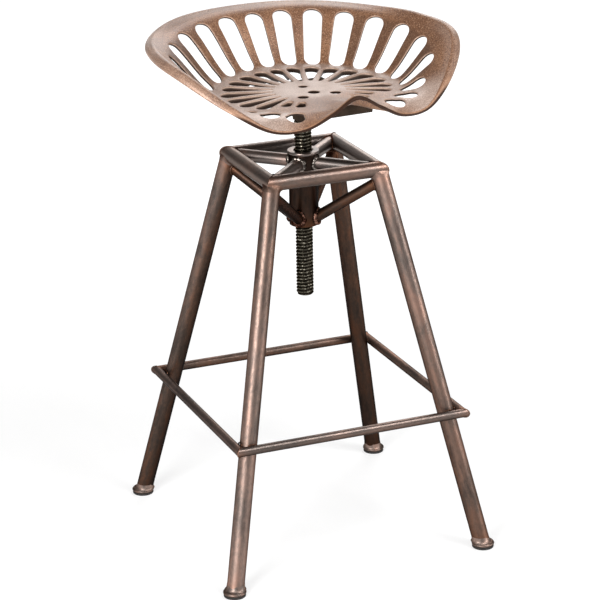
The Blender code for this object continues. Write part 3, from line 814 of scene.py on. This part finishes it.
def section_at(angle):
    """Seat's section at each angle: radii and heights of its knots, slopes leaving and reaching them."""
    angle = np.abs(angle)
    radii = np.stack([np.full_like(angle, PLATE_RADIUS), FOOT_R(angle), HEAD_R(angle), ROLL_R(angle)])
    heights = np.stack([np.zeros_like(angle), FOOT_Z(angle), HEAD_Z(angle), ROLL_Z(angle)])
    rise = np.diff(heights, axis=0) / np.diff(radii, axis=0)
    shoulder = (rise[1] + rise[2]) / 2
    leaving = np.stack([np.zeros_like(angle), (rise[0] + rise[1]) / 2, shoulder])
    reaching = np.stack([rise[0], shoulder, rise[2]])
    return radii, heights, leaving, reaching


def seat_height(x, y):
    """Top of the seat over its plate, at a place lateral and backward of the pan's middle."""
    radius = np.hypot(x, y)
    knots, heights, leaving, reaching = section_at(np.arctan2(x, y))
    result = np.zeros_like(radius)
    for i in range(3):
        part = hermite(radius, knots[i], knots[i + 1], heights[i], heights[i + 1], leaving[i], reaching[i])
        result = np.where(radius > knots[i], part, result)
    return result


def seat_normal(x, y):
    step = 6e-4
    slope_x = (seat_height(x + step, y) - seat_height(x - step, y)) / (2 * step)
    slope_y = (seat_height(x, y + step) - seat_height(x, y - step)) / (2 * step)
    return unit(np.stack([-slope_x, -slope_y, np.ones_like(x)], axis=-1))


def slot_rings(angle, inner, outer, inner_width, outer_width, lip):
    """Outlines of a radial slot with round ends, grown along its lip and measured on the curved sheet."""
    radii = np.linspace(inner - SLOT_SPARE, outer + SLOT_SPARE, SLOT_SAMPLES)
    heights = seat_height(radii * np.sin(angle), radii * np.cos(angle))
    lengths = np.concatenate([[0.0], np.cumsum(np.hypot(np.diff(radii), np.diff(heights)))])
    lengths -= np.interp(inner, radii, lengths)
    total = np.interp(outer, radii, lengths)
    share = min(1.0, 2 * total / (inner_width + outer_width))
    inner_end = inner_width / 2 * share
    outer_end = outer_width / 2 * share
    run = total - inner_end - outer_end
    parts = np.linspace(0.0, 1.0, SLOT_SIDE_POINTS + 2)[1:-1] if run > SPOKE else ()
    turns = [math.pi * i / (SLOT_END_POINTS - 1) for i in range(SLOT_END_POINTS)]
    rings = []
    for lip_turn in LIP_TURNS:
        grow = lip * (1 - math.cos(lip_turn))
        near = inner_width / 2 + grow
        far = outer_width / 2 + grow
        widths = [(inner_width + (outer_width - inner_width) * part) / 2 + grow for part in parts]
        side = [(inner_end + run * part, width) for part, width in zip(parts, widths)]
        points = [(inner_end - (inner_end + grow) * math.sin(t), -near * math.cos(t)) for t in turns]
        points += side
        points += [(total - outer_end + (outer_end + grow) * math.sin(t), far * math.cos(t)) for t in turns]
        points += [(along, -width) for along, width in reversed(side)]
        ring = []
        for along, across in points:
            radius = np.interp(along, lengths, radii)
            turned_by = angle + across / radius
            ring.append((radius * math.sin(turned_by), radius * math.cos(turned_by)))
        rings.append(ring)
    return rings


def seat_openings():
    """For each opening its lip, how far it is turned down, and its outlines from the flat sheet inwards."""
    found = []
    for place in range(-(SLOT_COUNT // 2), SLOT_COUNT // 2 + 1):
        angle = place * SLOT_PITCH
        foot = float(FOOT_R(abs(angle)))
        head = float(HEAD_R(abs(angle)))
        foot_width = min(SLOT_FOOT_WIDTH, foot * SLOT_PITCH - SLOT_FOOT_WEB)
        head_width = min(HEAD_WIDTH, head * SLOT_PITCH - HEAD_WEB)
        found.append((SLOT_LIP, 0.0, slot_rings(angle, foot, head, foot_width, head_width, SLOT_LIP)))
        ends = (SPOKE_ROOT, foot - SPOKE_LAND)
        if abs(place) >= LOBE_SLOT_FROM:
            ends = (LOBE_SLOT_ROOT, LOBE_SLOT_ROOT + LOBE_SLOT_LENGTH)
        widths = [radius * SLOT_PITCH - SPOKE for radius in ends]
        found.append((SPOKE_LIP, SPOKE_FLANGE, slot_rings(angle, *ends, *widths, SPOKE_LIP)))
    for lateral, forward, diameter in PLATE_HOLES:
        rings = []
        for turn in LIP_TURNS:
            radius = diameter / 2 + HOLE_LIP * (1 - math.cos(turn))
            turns = circle(HOLE_POINTS)
            rings.append([(lateral + radius * math.sin(t), -forward + radius * math.cos(t)) for t in turns])
        found.append((HOLE_LIP, 0.0, rings))
    return found


def clear_of_bracket(x, y):
    """How far a place in the seat's own plan lies from the bracket and its cross bars, less a margin."""
    y = y - PAN_FORWARD
    half_bar = CROSS_BAR_LENGTH / 2
    boxes = (
        (BRACKET_WIDTH / 2, -BRACKET_FRONT, BRACKET_BACK),
        (half_bar, -BRACKET_FRONT, CROSS_BAR_WIDTH - BRACKET_FRONT),
        (half_bar, BRACKET_BACK - CROSS_BAR_WIDTH, BRACKET_BACK),
    )
    away = []
    for half, low, high in boxes:
        beyond = np.maximum(np.maximum(low - y, y - high), 0.0)
        away.append(np.hypot(np.maximum(np.abs(x) - half, 0.0), beyond))
    return np.minimum.reduce(away) - BRACKET_MARGIN


def inside(outline, points):
    """Which of the points lie inside a closed outline."""
    x, y = points.T
    within = np.zeros(len(points), bool)
    for (ax, ay), (bx, by) in zip(outline, outline[1:] + outline[:1]):
        crosses = (ay > y) != (by > y)
        height = by - ay if by != ay else 1.0
        within ^= crosses & (x < (bx - ax) * (y - ay) / height + ax)
    return within


def ease(value, low, high):
    share = np.clip((value - low) / (high - low), 0.0, 1.0)
    return share * share * (3 - 2 * share)


def painted_sheen_and_shade(points, normal):
    """Painted sheen on the seat: the level parts of the pan, the thigh lobes and the rim.

    Below 0 for painted shade, between the slots at the sides of the wall. Each part eases in
    and out over a range of degrees from the back, of metres from the middle or from a knot, or of steepness.
    """
    from_back = np.abs(np.arctan2(points[:, 0], points[:, 1]))
    radius = np.hypot(points[:, 0], points[:, 1])
    past_foot = radius - FOOT_R(from_back)
    past_head = radius - HEAD_R(from_back)
    past_rim = radius - ROLL_R(from_back)
    degrees = np.degrees(from_back)
    level = normal[:, 2]
    pommel = ease(degrees, 116.0, 142.0) * ease(radius, 0.036, 0.062)
    pan = ease(level, 0.80, 0.96) * ease(-points[:, 2], -0.034, -0.012) * (1.0 - pommel)
    pan *= 1.0 - 0.4 * ease(radius, 0.055, 0.090)
    pan *= 1.0 - 0.62 * ease(degrees, 100.0, 130.0) * ease(radius, 0.030, 0.050)
    lobe = ease(level, 0.55, 0.85) * ease(radius, 0.110, 0.132)
    lobe *= ease(degrees, 112.0, 126.0) * (1.0 - ease(degrees, 136.0, 156.0))
    rim = ease(past_rim, -0.014, -0.002) * ease(degrees, 80.0, 95.0) * (1.0 - ease(degrees, 118.0, 132.0))
    # Painted shade between the slots at the sides of the wall.
    wall = ease(past_foot, 0.002, 0.016) * (1.0 - ease(past_head, -0.008, 0.004))
    wall *= ease(degrees, 28.0, 62.0) * (1.0 - ease(degrees, 100.0, 122.0))
    return np.maximum(np.maximum(pan, LOBE_SHEEN * lobe), RIM_SHEEN * rim) - wall


def seat_grid(openings):
    """Inner points of the sheet in staggered rows, clear of the rim and the openings."""
    reach = float(RIM_RADIUS.max())
    grid = []
    for row in range(int(2 * reach / (SHEET_STEP * math.sqrt(0.75))) + 1):
        y = -reach + row * SHEET_STEP * math.sqrt(0.75)
        for column in range(int(2 * reach / SHEET_STEP) + 1):
            grid.append((-reach + (column + 0.5 * (row % 2)) * SHEET_STEP, y))
    grid = np.array(grid)
    limit = ROLL_R(np.abs(np.arctan2(grid[:, 0], grid[:, 1])))
    grid = grid[np.hypot(grid[:, 0], grid[:, 1]) < limit - RIM_CLEAR * SHEET_STEP]
    for _, _, rings in openings:
        outline = np.array(rings[0])
        grown = outline + unit(outline - outline.mean(axis=0)) * OPENING_CLEAR * SHEET_STEP
        grid = grid[~inside([tuple(point) for point in grown], grid)]
    return grid


def flat_sheet(openings):
    """The seat in plan: its points, its triangles, and which points lie on the rim and on each opening."""
    points = list(zip(RIM_RADIUS * np.sin(RIM_TURN), RIM_RADIUS * np.cos(RIM_TURN)))
    loops = [range(RIM_POINTS)]
    for _, _, rings in openings:
        loops.append(range(len(points), len(points) + len(rings[0])))
        points += rings[0]
    edges = [pair for loop in loops for pair in zip(loop, (*loop[1:], loop[0]))]
    points += [tuple(point) for point in seat_grid(openings)]
    flat, _, faces, source, _, _ = delaunay_2d_cdt([Vector(point) for point in points], edges, [], 1, 1e-7)
    flat = np.array([tuple(point) for point in flat])
    place_of = {origin: i for i, origins in enumerate(source) for origin in origins}
    middles = np.array([flat[list(face)].mean(axis=0) for face in faces])
    kept = np.ones(len(faces), bool)
    for _, _, rings in openings:
        kept &= ~inside(rings[0], middles)
    faces = [face for face, keep in zip(faces, kept) if keep]
    return flat, faces, [[place_of[i] for i in loop] for loop in loops]


def seat_row(shape, points, edge=0.0, rolled=0.0, sheen_and_shade=0.0):
    """Points of the seat with their painted light, shade and wear, each kind of which is one number or one
    for each point.
    """
    wear_and_light = np.stack(np.broadcast_arrays(edge, rolled, sheen_and_shade), axis=-1)
    wear_and_light = np.broadcast_to(wear_and_light, (len(points), 3))
    return [shape.vert(SEAT_PLACE @ Vector(point), *numbers) for point, numbers in zip(points, wear_and_light)]


def line_opening(shape, upper, lower, lip, flange, rings):
    """Rounded lips of an opening, of which the lower one is turned down, and the wall between them."""
    turned_down = np.zeros(len(upper))
    if flange:
        turned_down = flange * np.clip(clear_of_bracket(*np.array(rings[0]).T) / flange, 0.0, 1.0)
    for ring, turn in zip(rings, LIP_TURNS):
        drop = lip * (1 - math.sin(turn))
        ring = np.array(ring)
        facing = seat_normal(*ring.T)
        surface = np.column_stack([ring, seat_height(*ring.T)])
        if drop:
            # The upper lip is painted with a highlight where it turns and with shade further round, under the
            # sheen and shade painted on the sheet.
            lip_light_shade = drop / lip * (FLANGE_LIP_SHADE if flange else 1.0)
            sheen_value = painted_sheen_and_shade(surface, facing)
            upper = shape.strip(upper, seat_row(shape, surface - facing * drop, lip_light_shade, sheen_and_shade=sheen_value))
        if drop or turned_down.any():
            depth = (SHEET - drop + turned_down)[:, None]
            # The wall and the lower lip are painted in shade.
            row = seat_row(shape, surface - facing * depth, edge=1.0)
            shape.strip(row, lower)
            lower = row
    shape.strip(upper, lower)


def rim_vectors(outward, upward):
    """Vectors all round the rim, from their outward and upward parts."""
    return RIM_OUT * outward[:, None] + np.array(UP) * upward[:, None]


def roll_rim(shape, upper, lower, slope):
    """The roll, from the rim's own slope down to upright, then a rounded edge."""
    roll = ROLL(RIM_FROM_BACK)
    degrees = np.degrees(RIM_FROM_BACK)
    # Painted shade on the rolled edge at the front and under the whole roll.
    shaded_front = ease(degrees, 113.0, 133.0)
    # Painted sheen on the roll at the sides and back.
    roll_sheen = RIM_SHEEN * ease(degrees, 30.0, 70.0) * (1.0 - shaded_front)
    base = rim_vectors(RIM_RADIUS, ROLL_Z(RIM_FROM_BACK))
    for step in range(1, ROLL_STEPS + 1):
        part = step / ROLL_STEPS
        lean = slope + (-math.pi / 2 - slope) * part
        outward = roll * (np.sin(slope) - np.sin(lean))
        spot = base + rim_vectors(outward, roll * (np.cos(lean) - np.cos(slope)))
        facing = rim_vectors(-np.sin(lean), np.cos(lean))
        row = seat_row(shape, spot, 0.0, part * shaded_front, roll_sheen * min(1.0, 2.0 * part))
        under = seat_row(shape, spot - facing * SHEET, 0.0, part)
        upper = shape.strip(upper, row)
        shape.strip(under, lower)
        lower = under
    middle = spot - facing * (SHEET / 2)
    for step in range(1, RIM_EDGE_STEPS):
        angle = math.pi * step / RIM_EDGE_STEPS
        ring = middle + facing * (SHEET / 2 * math.cos(angle)) - np.array(UP) * (RIM_EDGE * math.sin(angle))
        upper = shape.strip(upper, seat_row(shape, ring, 0.5 * shaded_front, shaded_front))
    shape.strip(upper, lower)


def build_seat(bronze):
    """Pressed sheet with rounded slots and a rolled rim, finer than the solid and in the same place."""
    openings = seat_openings()
    flat, faces, (rim, *loops) = flat_sheet(openings)
    x, y = flat.T
    top = np.stack([x, y, seat_height(x, y)], axis=-1)
    normal = seat_normal(x, y)
    slope = np.arctan(section_at(RIM_FROM_BACK)[3][-1])
    normal[rim] = rim_vectors(-np.sin(slope), np.cos(slope))
    shape = Shape("edge", "rolled", "sheen_and_shade")
    upper = seat_row(shape, top, sheen_and_shade=painted_sheen_and_shade(top, normal))
    lower = seat_row(shape, top - normal * SHEET)
    for face in faces:
        shape.mesh.faces.new([upper[i] for i in face])
        shape.mesh.faces.new([lower[i] for i in reversed(face)])
    for loop, opening in zip(loops, openings):
        line_opening(shape, [upper[i] for i in loop], [lower[i] for i in loop], *opening)
    roll_rim(shape, [upper[i] for i in rim], [lower[i] for i in rim], slope)
    bmesh.ops.remove_doubles(shape.mesh, verts=shape.mesh.verts, dist=1e-6)
    add_piece("seat_pressing", shape, bronze, ["seat"], "turn", "copper_bronze", sharp=70)


class Nodes:
    """A node tree that is built up from the nodes it needs."""

    def __init__(self, owner):
        owner.use_nodes = True
        self.nodes = owner.node_tree.nodes
        self.links = owner.node_tree.links

    def feed(self, socket, value):
        """Link another node's output to a socket, or set the socket to a plain value."""
        if isinstance(value, bpy.types.NodeSocket):
            self.links.new(value, socket)
        else:
            socket.default_value = (*value, 1.0) if socket.type == "RGBA" else value

    def node(self, kind, inputs=None, **settings):
        """Add a node whose inputs are given by name or number. Returns its outputs."""
        node = self.nodes.new(f"ShaderNode{kind}")
        for name, value in settings.items():
            setattr(node, name, value)
        for key, value in (inputs or {}).items():
            self.feed(node.inputs[key], value)
        return node.outputs

    def range(self, value, low, high, to_low=0.0, to_high=1.0):
        inputs = {"Value": value, "From Min": low, "From Max": high, "To Min": to_low, "To Max": to_high}
        return self.node("MapRange", inputs, interpolation_type="SMOOTHSTEP")["Result"]

    def math(self, kind, a, b):
        return self.node("Math", {0: a, 1: b}, operation=kind)["Value"]


class Finish(Nodes):
    """A material whose textures follow the grain and whose colour is painted in layers."""

    def __init__(self, name, colour):
        self.material = bpy.data.materials.new(name)
        super().__init__(self.material)
        self.grain = self.node("Attribute", attribute_name="grain")["Vector"]
        self.colour = colour

    def number(self, name):
        return self.node("Attribute", attribute_name=name)["Fac"]

    def noise(self, scale, detail, rough, twist=0.0, length=1.0):
        """Noise in the grain, drawn out lengthwise if length is below 1."""
        vector = self.node("Mapping", {"Vector": self.grain, "Scale": (1.0, 1.0, length)})["Vector"]
        inputs = {"Vector": vector, "Scale": scale, "Detail": detail, "Roughness": rough, "Distortion": twist}
        return self.node("TexNoise", inputs)["Fac"]

    def mix(self, amount, a, b, kind="MIX"):
        """Mix two colours. The sockets for colours are the node's inputs 6 and 7 and its output 2."""
        return self.node("Mix", {0: amount, 6: a, 7: b}, data_type="RGBA", blend_type=kind)[2]

    def paint(self, colour, value, low, high, amount=1.0):
        """Lay a colour over those so far as a value goes from low to high."""
        self.colour = self.mix(self.range(value, low, high, 0.0, amount), self.colour, colour)

    def bump(self, height, distance, strength=1.0, **under):
        """Bump from a height, over another bump if that is given as Normal."""
        inputs = {"Strength": strength, "Distance": distance, "Height": height, **under}
        return self.node("Bump", inputs)["Normal"]

    def finish(self, roughness, normal, **values):
        """Feed the shader, the values by the names of its sockets with _ for a blank."""
        values.update(Base_Color=self.colour, Roughness=roughness, Normal=normal)
        for name, value in values.items():
            self.feed(self.nodes["Principled BSDF"].inputs[name.replace("_", " ")], value)
        return self.material


def tube_finish(name, sheen, tint, lacquer, copper, streaky):
    """Antique bronze: dark brown, rubbed to copper in streaks and browned near the welds, then lacquered."""
    brown = (0.055, 0.044, 0.038)
    warm_brown = (0.090, 0.058, 0.045)
    speck = (0.116, 0.078, 0.062)
    rubbed = (0.168, 0.102, 0.079)
    rust = (0.172, 0.086, 0.058)
    soot = (0.026, 0.021, 0.019)
    weld_brown = (0.165, 0.076, 0.046)
    look = Finish(name, brown)
    mottle = look.noise(260.0, 4.0, 0.65, length=0.6)
    patches = look.noise(24.0, 4.0, 0.6, 0.3, length=0.5)
    streaks = look.noise(75.0, 6.0, 0.75, 0.2, length=0.20)
    fine = look.noise(900.0, 2.0, 0.6)
    rub = look.math("ADD", look.math("MULTIPLY", mottle, 0.6), look.math("MULTIPLY", patches, 0.4))
    look.paint(warm_brown, patches, 0.34, 0.66)
    look.paint(speck, fine, 0.40, 0.75, 0.5)
    look.paint(rubbed, rub, 0.40, 0.70, 0.45)
    look.paint(rust, streaks, 0.48, 0.68, 0.55 * streaky)
    look.paint(soot, streaks, 0.52, 0.34, 0.70 * streaky)
    near_weld = look.range(look.number("joint"), 0.15, 0.90)
    heated = look.math("MULTIPLY", near_weld, look.range(patches, 0.35, 0.60, 0.12, 0.45))
    # The tone carries painted light and shade: the colour is scaled by it and greyer where it is light, as a
    # painted highlight.
    tone = look.number("tone")
    depth = look.range(tone, 0.7, 2.2, 1.35 * copper, 0.90 * copper)
    colour = look.mix(heated, look.colour, weld_brown)
    colour = look.node("HueSaturation", {"Saturation": depth, "Color": colour})["Color"]
    look.colour = look.mix(1.0, colour, tone, "MULTIPLY")
    sheen_value = look.math("ADD", fine, look.range(rub, 0.40, 0.70))
    rough = look.range(sheen_value, 0.3, 1.5, sheen, sheen - 0.07)
    normal = look.bump(mottle, 0.0003, 0.03, Normal=look.bump(fine, 0.00004))
    coat = {"Coat_Weight": lacquer, "Coat_Roughness": 0.34}
    return look.finish(rough, normal, Metallic=1.0, Specular_Tint=tint, **coat)


def weld_finish(name, low, high):
    look = Finish(name, low)
    lumps = look.noise(190.0, 3.0, 0.6)
    fine = look.noise(1100.0, 2.0, 0.6)
    crest = look.math("MULTIPLY", look.number("joint"), 0.08)
    look.paint(high, look.math("ADD", crest, look.math("MULTIPLY", lumps, 0.92)), 0.42, 0.68)
    normal = look.bump(lumps, 0.0006, 0.5, Normal=look.bump(fine, 0.00010))
    rough = look.range(fine, 0.3, 0.7, 0.26, 0.42)
    return look.finish(rough, normal, Metallic=1.0, Specular_Tint=(0.2, 0.16, 0.14))


def screw_finish():
    """Dark steel with light spots as painted glints, and painted shade between the threads."""
    look = Finish("threaded_steel", (0.050, 0.045, 0.034))
    fine = look.noise(700.0, 3.0, 0.6)
    look.paint((0.095, 0.085, 0.065), look.noise(60.0, 3.0, 0.6), 0.35, 0.65)
    # Light spots as painted glints.
    look.paint((0.420, 0.390, 0.310), look.noise(330.0, 2.0, 0.5), 0.54, 0.68)
    # Painted shade in the thread roots.
    look.paint((0.016, 0.013, 0.009), look.number("joint"), 0.95, 0.15)
    look.paint((0.050, 0.036, 0.022), fine, 0.62, 0.80)
    rough = look.range(fine, 0.3, 0.7, 0.24, 0.38)
    return look.finish(rough, look.bump(fine, 0.00008), Metallic=1.0, Specular_Tint=(0.25, 0.21, 0.16))


def dark_finish():
    look = Finish("dark_plate_steel", (0.026, 0.018, 0.013))
    fine = look.noise(650.0, 3.0, 0.6)
    patches = look.noise(40.0, 4.0, 0.6, length=0.3)
    look.paint((0.058, 0.038, 0.027), patches, 0.38, 0.68)
    look.paint((0.095, 0.058, 0.038), fine, 0.62, 0.78)
    rough = look.range(patches, 0.3, 0.7, 0.38, 0.56)
    return look.finish(rough, look.bump(fine, 0.0001), Metallic=0.8, Specular_Tint=(0.5, 0.45, 0.4))


def rubber_finish():
    look = Finish("black_rubber_pad", (0.012, 0.010, 0.009))
    dust = look.noise(90.0, 4.0, 0.6)
    look.paint((0.036, 0.030, 0.025), dust, 0.45, 0.8)
    rough = look.range(dust, 0.3, 0.7, 0.62, 0.85)
    return look.finish(rough, look.bump(look.noise(1400.0, 2.0, 0.6), 0.00008), Metallic=0.0)


def seat_finish():
    """Speckled copper bronze on slightly pitted metal, with painted sheen where one sits, painted highlights
    on the lips, and painted shade in the slot walls, between the side slots and on the rolled edge.
    """
    brown = (0.170, 0.073, 0.034)
    copper = (0.290, 0.138, 0.068)
    light_speck = (0.440, 0.262, 0.162)
    dark_speck = (0.075, 0.033, 0.019)
    sheen_low = (0.420, 0.315, 0.265)
    sheen_high = (0.600, 0.475, 0.410)
    wall_shade = (0.060, 0.030, 0.018)
    lip_highlight = (0.480, 0.330, 0.250)
    slot_shade = (0.018, 0.010, 0.007)
    rim_copper = (0.430, 0.235, 0.140)
    roll_shade = (0.026, 0.012, 0.008)
    look = Finish("speckled_copper_bronze", brown)
    edge = look.number("edge")
    rolled = look.number("rolled")
    sheen_and_shade = look.number("sheen_and_shade")
    specks = look.noise(620.0, 2.0, 0.55)
    grit = look.noise(1500.0, 2.0, 0.5)
    patches = look.noise(17.0, 4.0, 0.6, 0.3)
    pits = look.noise(240.0, 3.0, 0.6)
    look.paint(copper, patches, 0.32, 0.70)
    look.paint(light_speck, specks, 0.54, 0.68)
    look.paint(dark_speck, specks, 0.48, 0.33)
    # Painted sheen on the level pan, the lobes and the rim, paler in the specks.
    sheen_colour = look.mix(look.range(specks, 0.40, 0.65), sheen_low, sheen_high)
    painted_sheen = look.math("MAXIMUM", sheen_and_shade, 0.0)
    painted_sheen = look.math("MULTIPLY", painted_sheen, look.range(patches, 0.30, 0.60, 0.65, 0.95))
    look.colour = look.mix(painted_sheen, look.colour, sheen_colour)
    # Painted shade between the slots at the sides of the wall.
    look.paint(wall_shade, sheen_and_shade, 0.0, -1.0, 0.5)
    # Painted highlight on the lips, painted shade on the slot walls and lower lips.
    look.paint(lip_highlight, edge, 0.02, 0.30, 0.6)
    look.paint(slot_shade, edge, 0.50, 0.90, 0.97)
    look.paint(rim_copper, rolled, 0.02, 0.25, 0.5)
    # Painted shade on the rolled edge at the front and under the roll.
    look.paint(roll_shade, rolled, 0.30, 0.60, 0.97)
    rough = look.range(look.math("ADD", specks, grit), 0.7, 1.3, 0.37, 0.48)
    normal = look.bump(pits, 0.0005, 0.35, Normal=look.bump(grit, 0.00010))
    dull = look.math("MAXIMUM", look.range(rolled, 0.30, 0.60), look.range(edge, 0.50, 0.90))
    gloss = look.range(dull, 0.0, 1.0, 0.6, 0.10)
    return look.finish(rough, normal, Metallic=0.2, Specular_IOR_Level=gloss)


def floor_finish():
    """White floor that keeps the object's shadow.

    Rays from the camera, from gloss and through glass see it glow, less under the object than far off. All
    other rays see it matt.
    """
    material = bpy.data.materials.new("white_floor")
    tree = Nodes(material)
    tree.nodes.clear()
    path = tree.node("LightPath")
    seen = tree.math("MAXIMUM", path["Is Camera Ray"], path["Is Glossy Ray"])
    seen = tree.math("MAXIMUM", seen, path["Is Transmission Ray"])
    away = tree.node("VectorMath", {0: tree.node("TexCoord")["Object"]}, operation="LENGTH")["Value"]
    glow = tree.node("Emission", {"Strength": tree.range(away, *FLOOR_GLOW_REACH, *FLOOR_GLOW)})["Emission"]
    shadow = tree.node("BsdfDiffuse", {"Color": FLOOR_SHADOW})["BSDF"]
    lit = tree.node("AddShader", {0: shadow, 1: glow})["Shader"]
    matt = tree.node("BsdfDiffuse", {"Color": FLOOR_WHITE})["BSDF"]
    mixed = tree.node("MixShader", {"Fac": seen, 1: matt, 2: lit})["Shader"]
    tree.node("OutputMaterial", {"Surface": mixed})
    return material


def build_studio():
    world = bpy.data.worlds.new("white_studio")
    bpy.context.scene.world = world
    tree = Nodes(world)
    tree.nodes.clear()
    ambient = tree.node("Background", {"Color": (1.0, 1.0, 1.0), "Strength": AMBIENT})["Background"]
    tree.node("OutputWorld", {"Surface": ambient})

    mesh = bpy.data.meshes.new("studio_floor")
    far = FLOOR_EXTENT
    mesh.from_pydata([(-far, -far, 0), (far, -far, 0), (far, far, 0), (-far, far, 0)], [], [(0, 1, 2, 3)])
    mesh.materials.append(floor_finish())
    floor = bpy.data.objects.new("studio_floor", mesh)
    bpy.context.scene.collection.objects.link(floor)

    for name, place, aim, width, height, power in LAMPS:
        lamp = bpy.data.lights.new(name, "AREA")
        lamp.shape = "RECTANGLE"
        lamp.size = width
        lamp.size_y = height
        lamp.energy = power
        light = bpy.data.objects.new(name, lamp)
        light.location = place
        light.visible_camera = False
        light.rotation_euler = (Vector(aim) - Vector(place)).to_track_quat("-Z", "Y").to_euler()
        bpy.context.scene.collection.objects.link(light)


def build_camera():
    data = bpy.data.cameras.new("camera")
    data.sensor_width = SENSOR
    data.lens = LENS
    data.clip_end = VIEW_END
    camera = bpy.data.objects.new("camera", data)
    turn = Matrix((CAMERA_RIGHT, -CAMERA_DOWN, -CAMERA_AHEAD)).transposed()
    camera.matrix_world = Matrix.Translation(CAMERA_PLACE) @ turn.to_4x4()
    bpy.context.scene.collection.objects.link(camera)
    bpy.context.scene.camera = camera


def build_welds(steel):
    """One piece for each group of beads that the parts have left."""
    spatter = weld_finish("spattered_weld", (0.040, 0.034, 0.030), (0.420, 0.370, 0.330))
    rusty = weld_finish("rusty_weld", (0.030, 0.012, 0.008), (0.250, 0.130, 0.095))
    grey = weld_finish("dark_weld", (0.045, 0.040, 0.034), (0.180, 0.150, 0.120))
    for name, material in (("frame_welds", steel), ("hub_welds", spatter), ("hub_low_welds", rusty)):
        add_piece(name, weld_beads[name], material, sharp=80)
    add_piece("screw_weld", weld_beads["screw_weld"], grey, (), "lift", "dark_steel", sharp=80)


def main():
    bpy.context.scene.view_settings.view_transform = "Standard"
    steels = {name: tube_finish(f"antique_bronze_{name}", *values) for name, values in TUBE_FINISHES.items()}
    dark = dark_finish()
    build_camera()
    build_frame(steels)
    build_feet(steels["legs"], rubber_finish())
    build_hub(steels["legs"], steels["arms"])
    build_screw(screw_finish(), dark)
    build_bracket(dark)
    build_seat(seat_finish())
    build_welds(steels["legs"])
    build_studio()
    bpy.context.view_layer.update()


main()
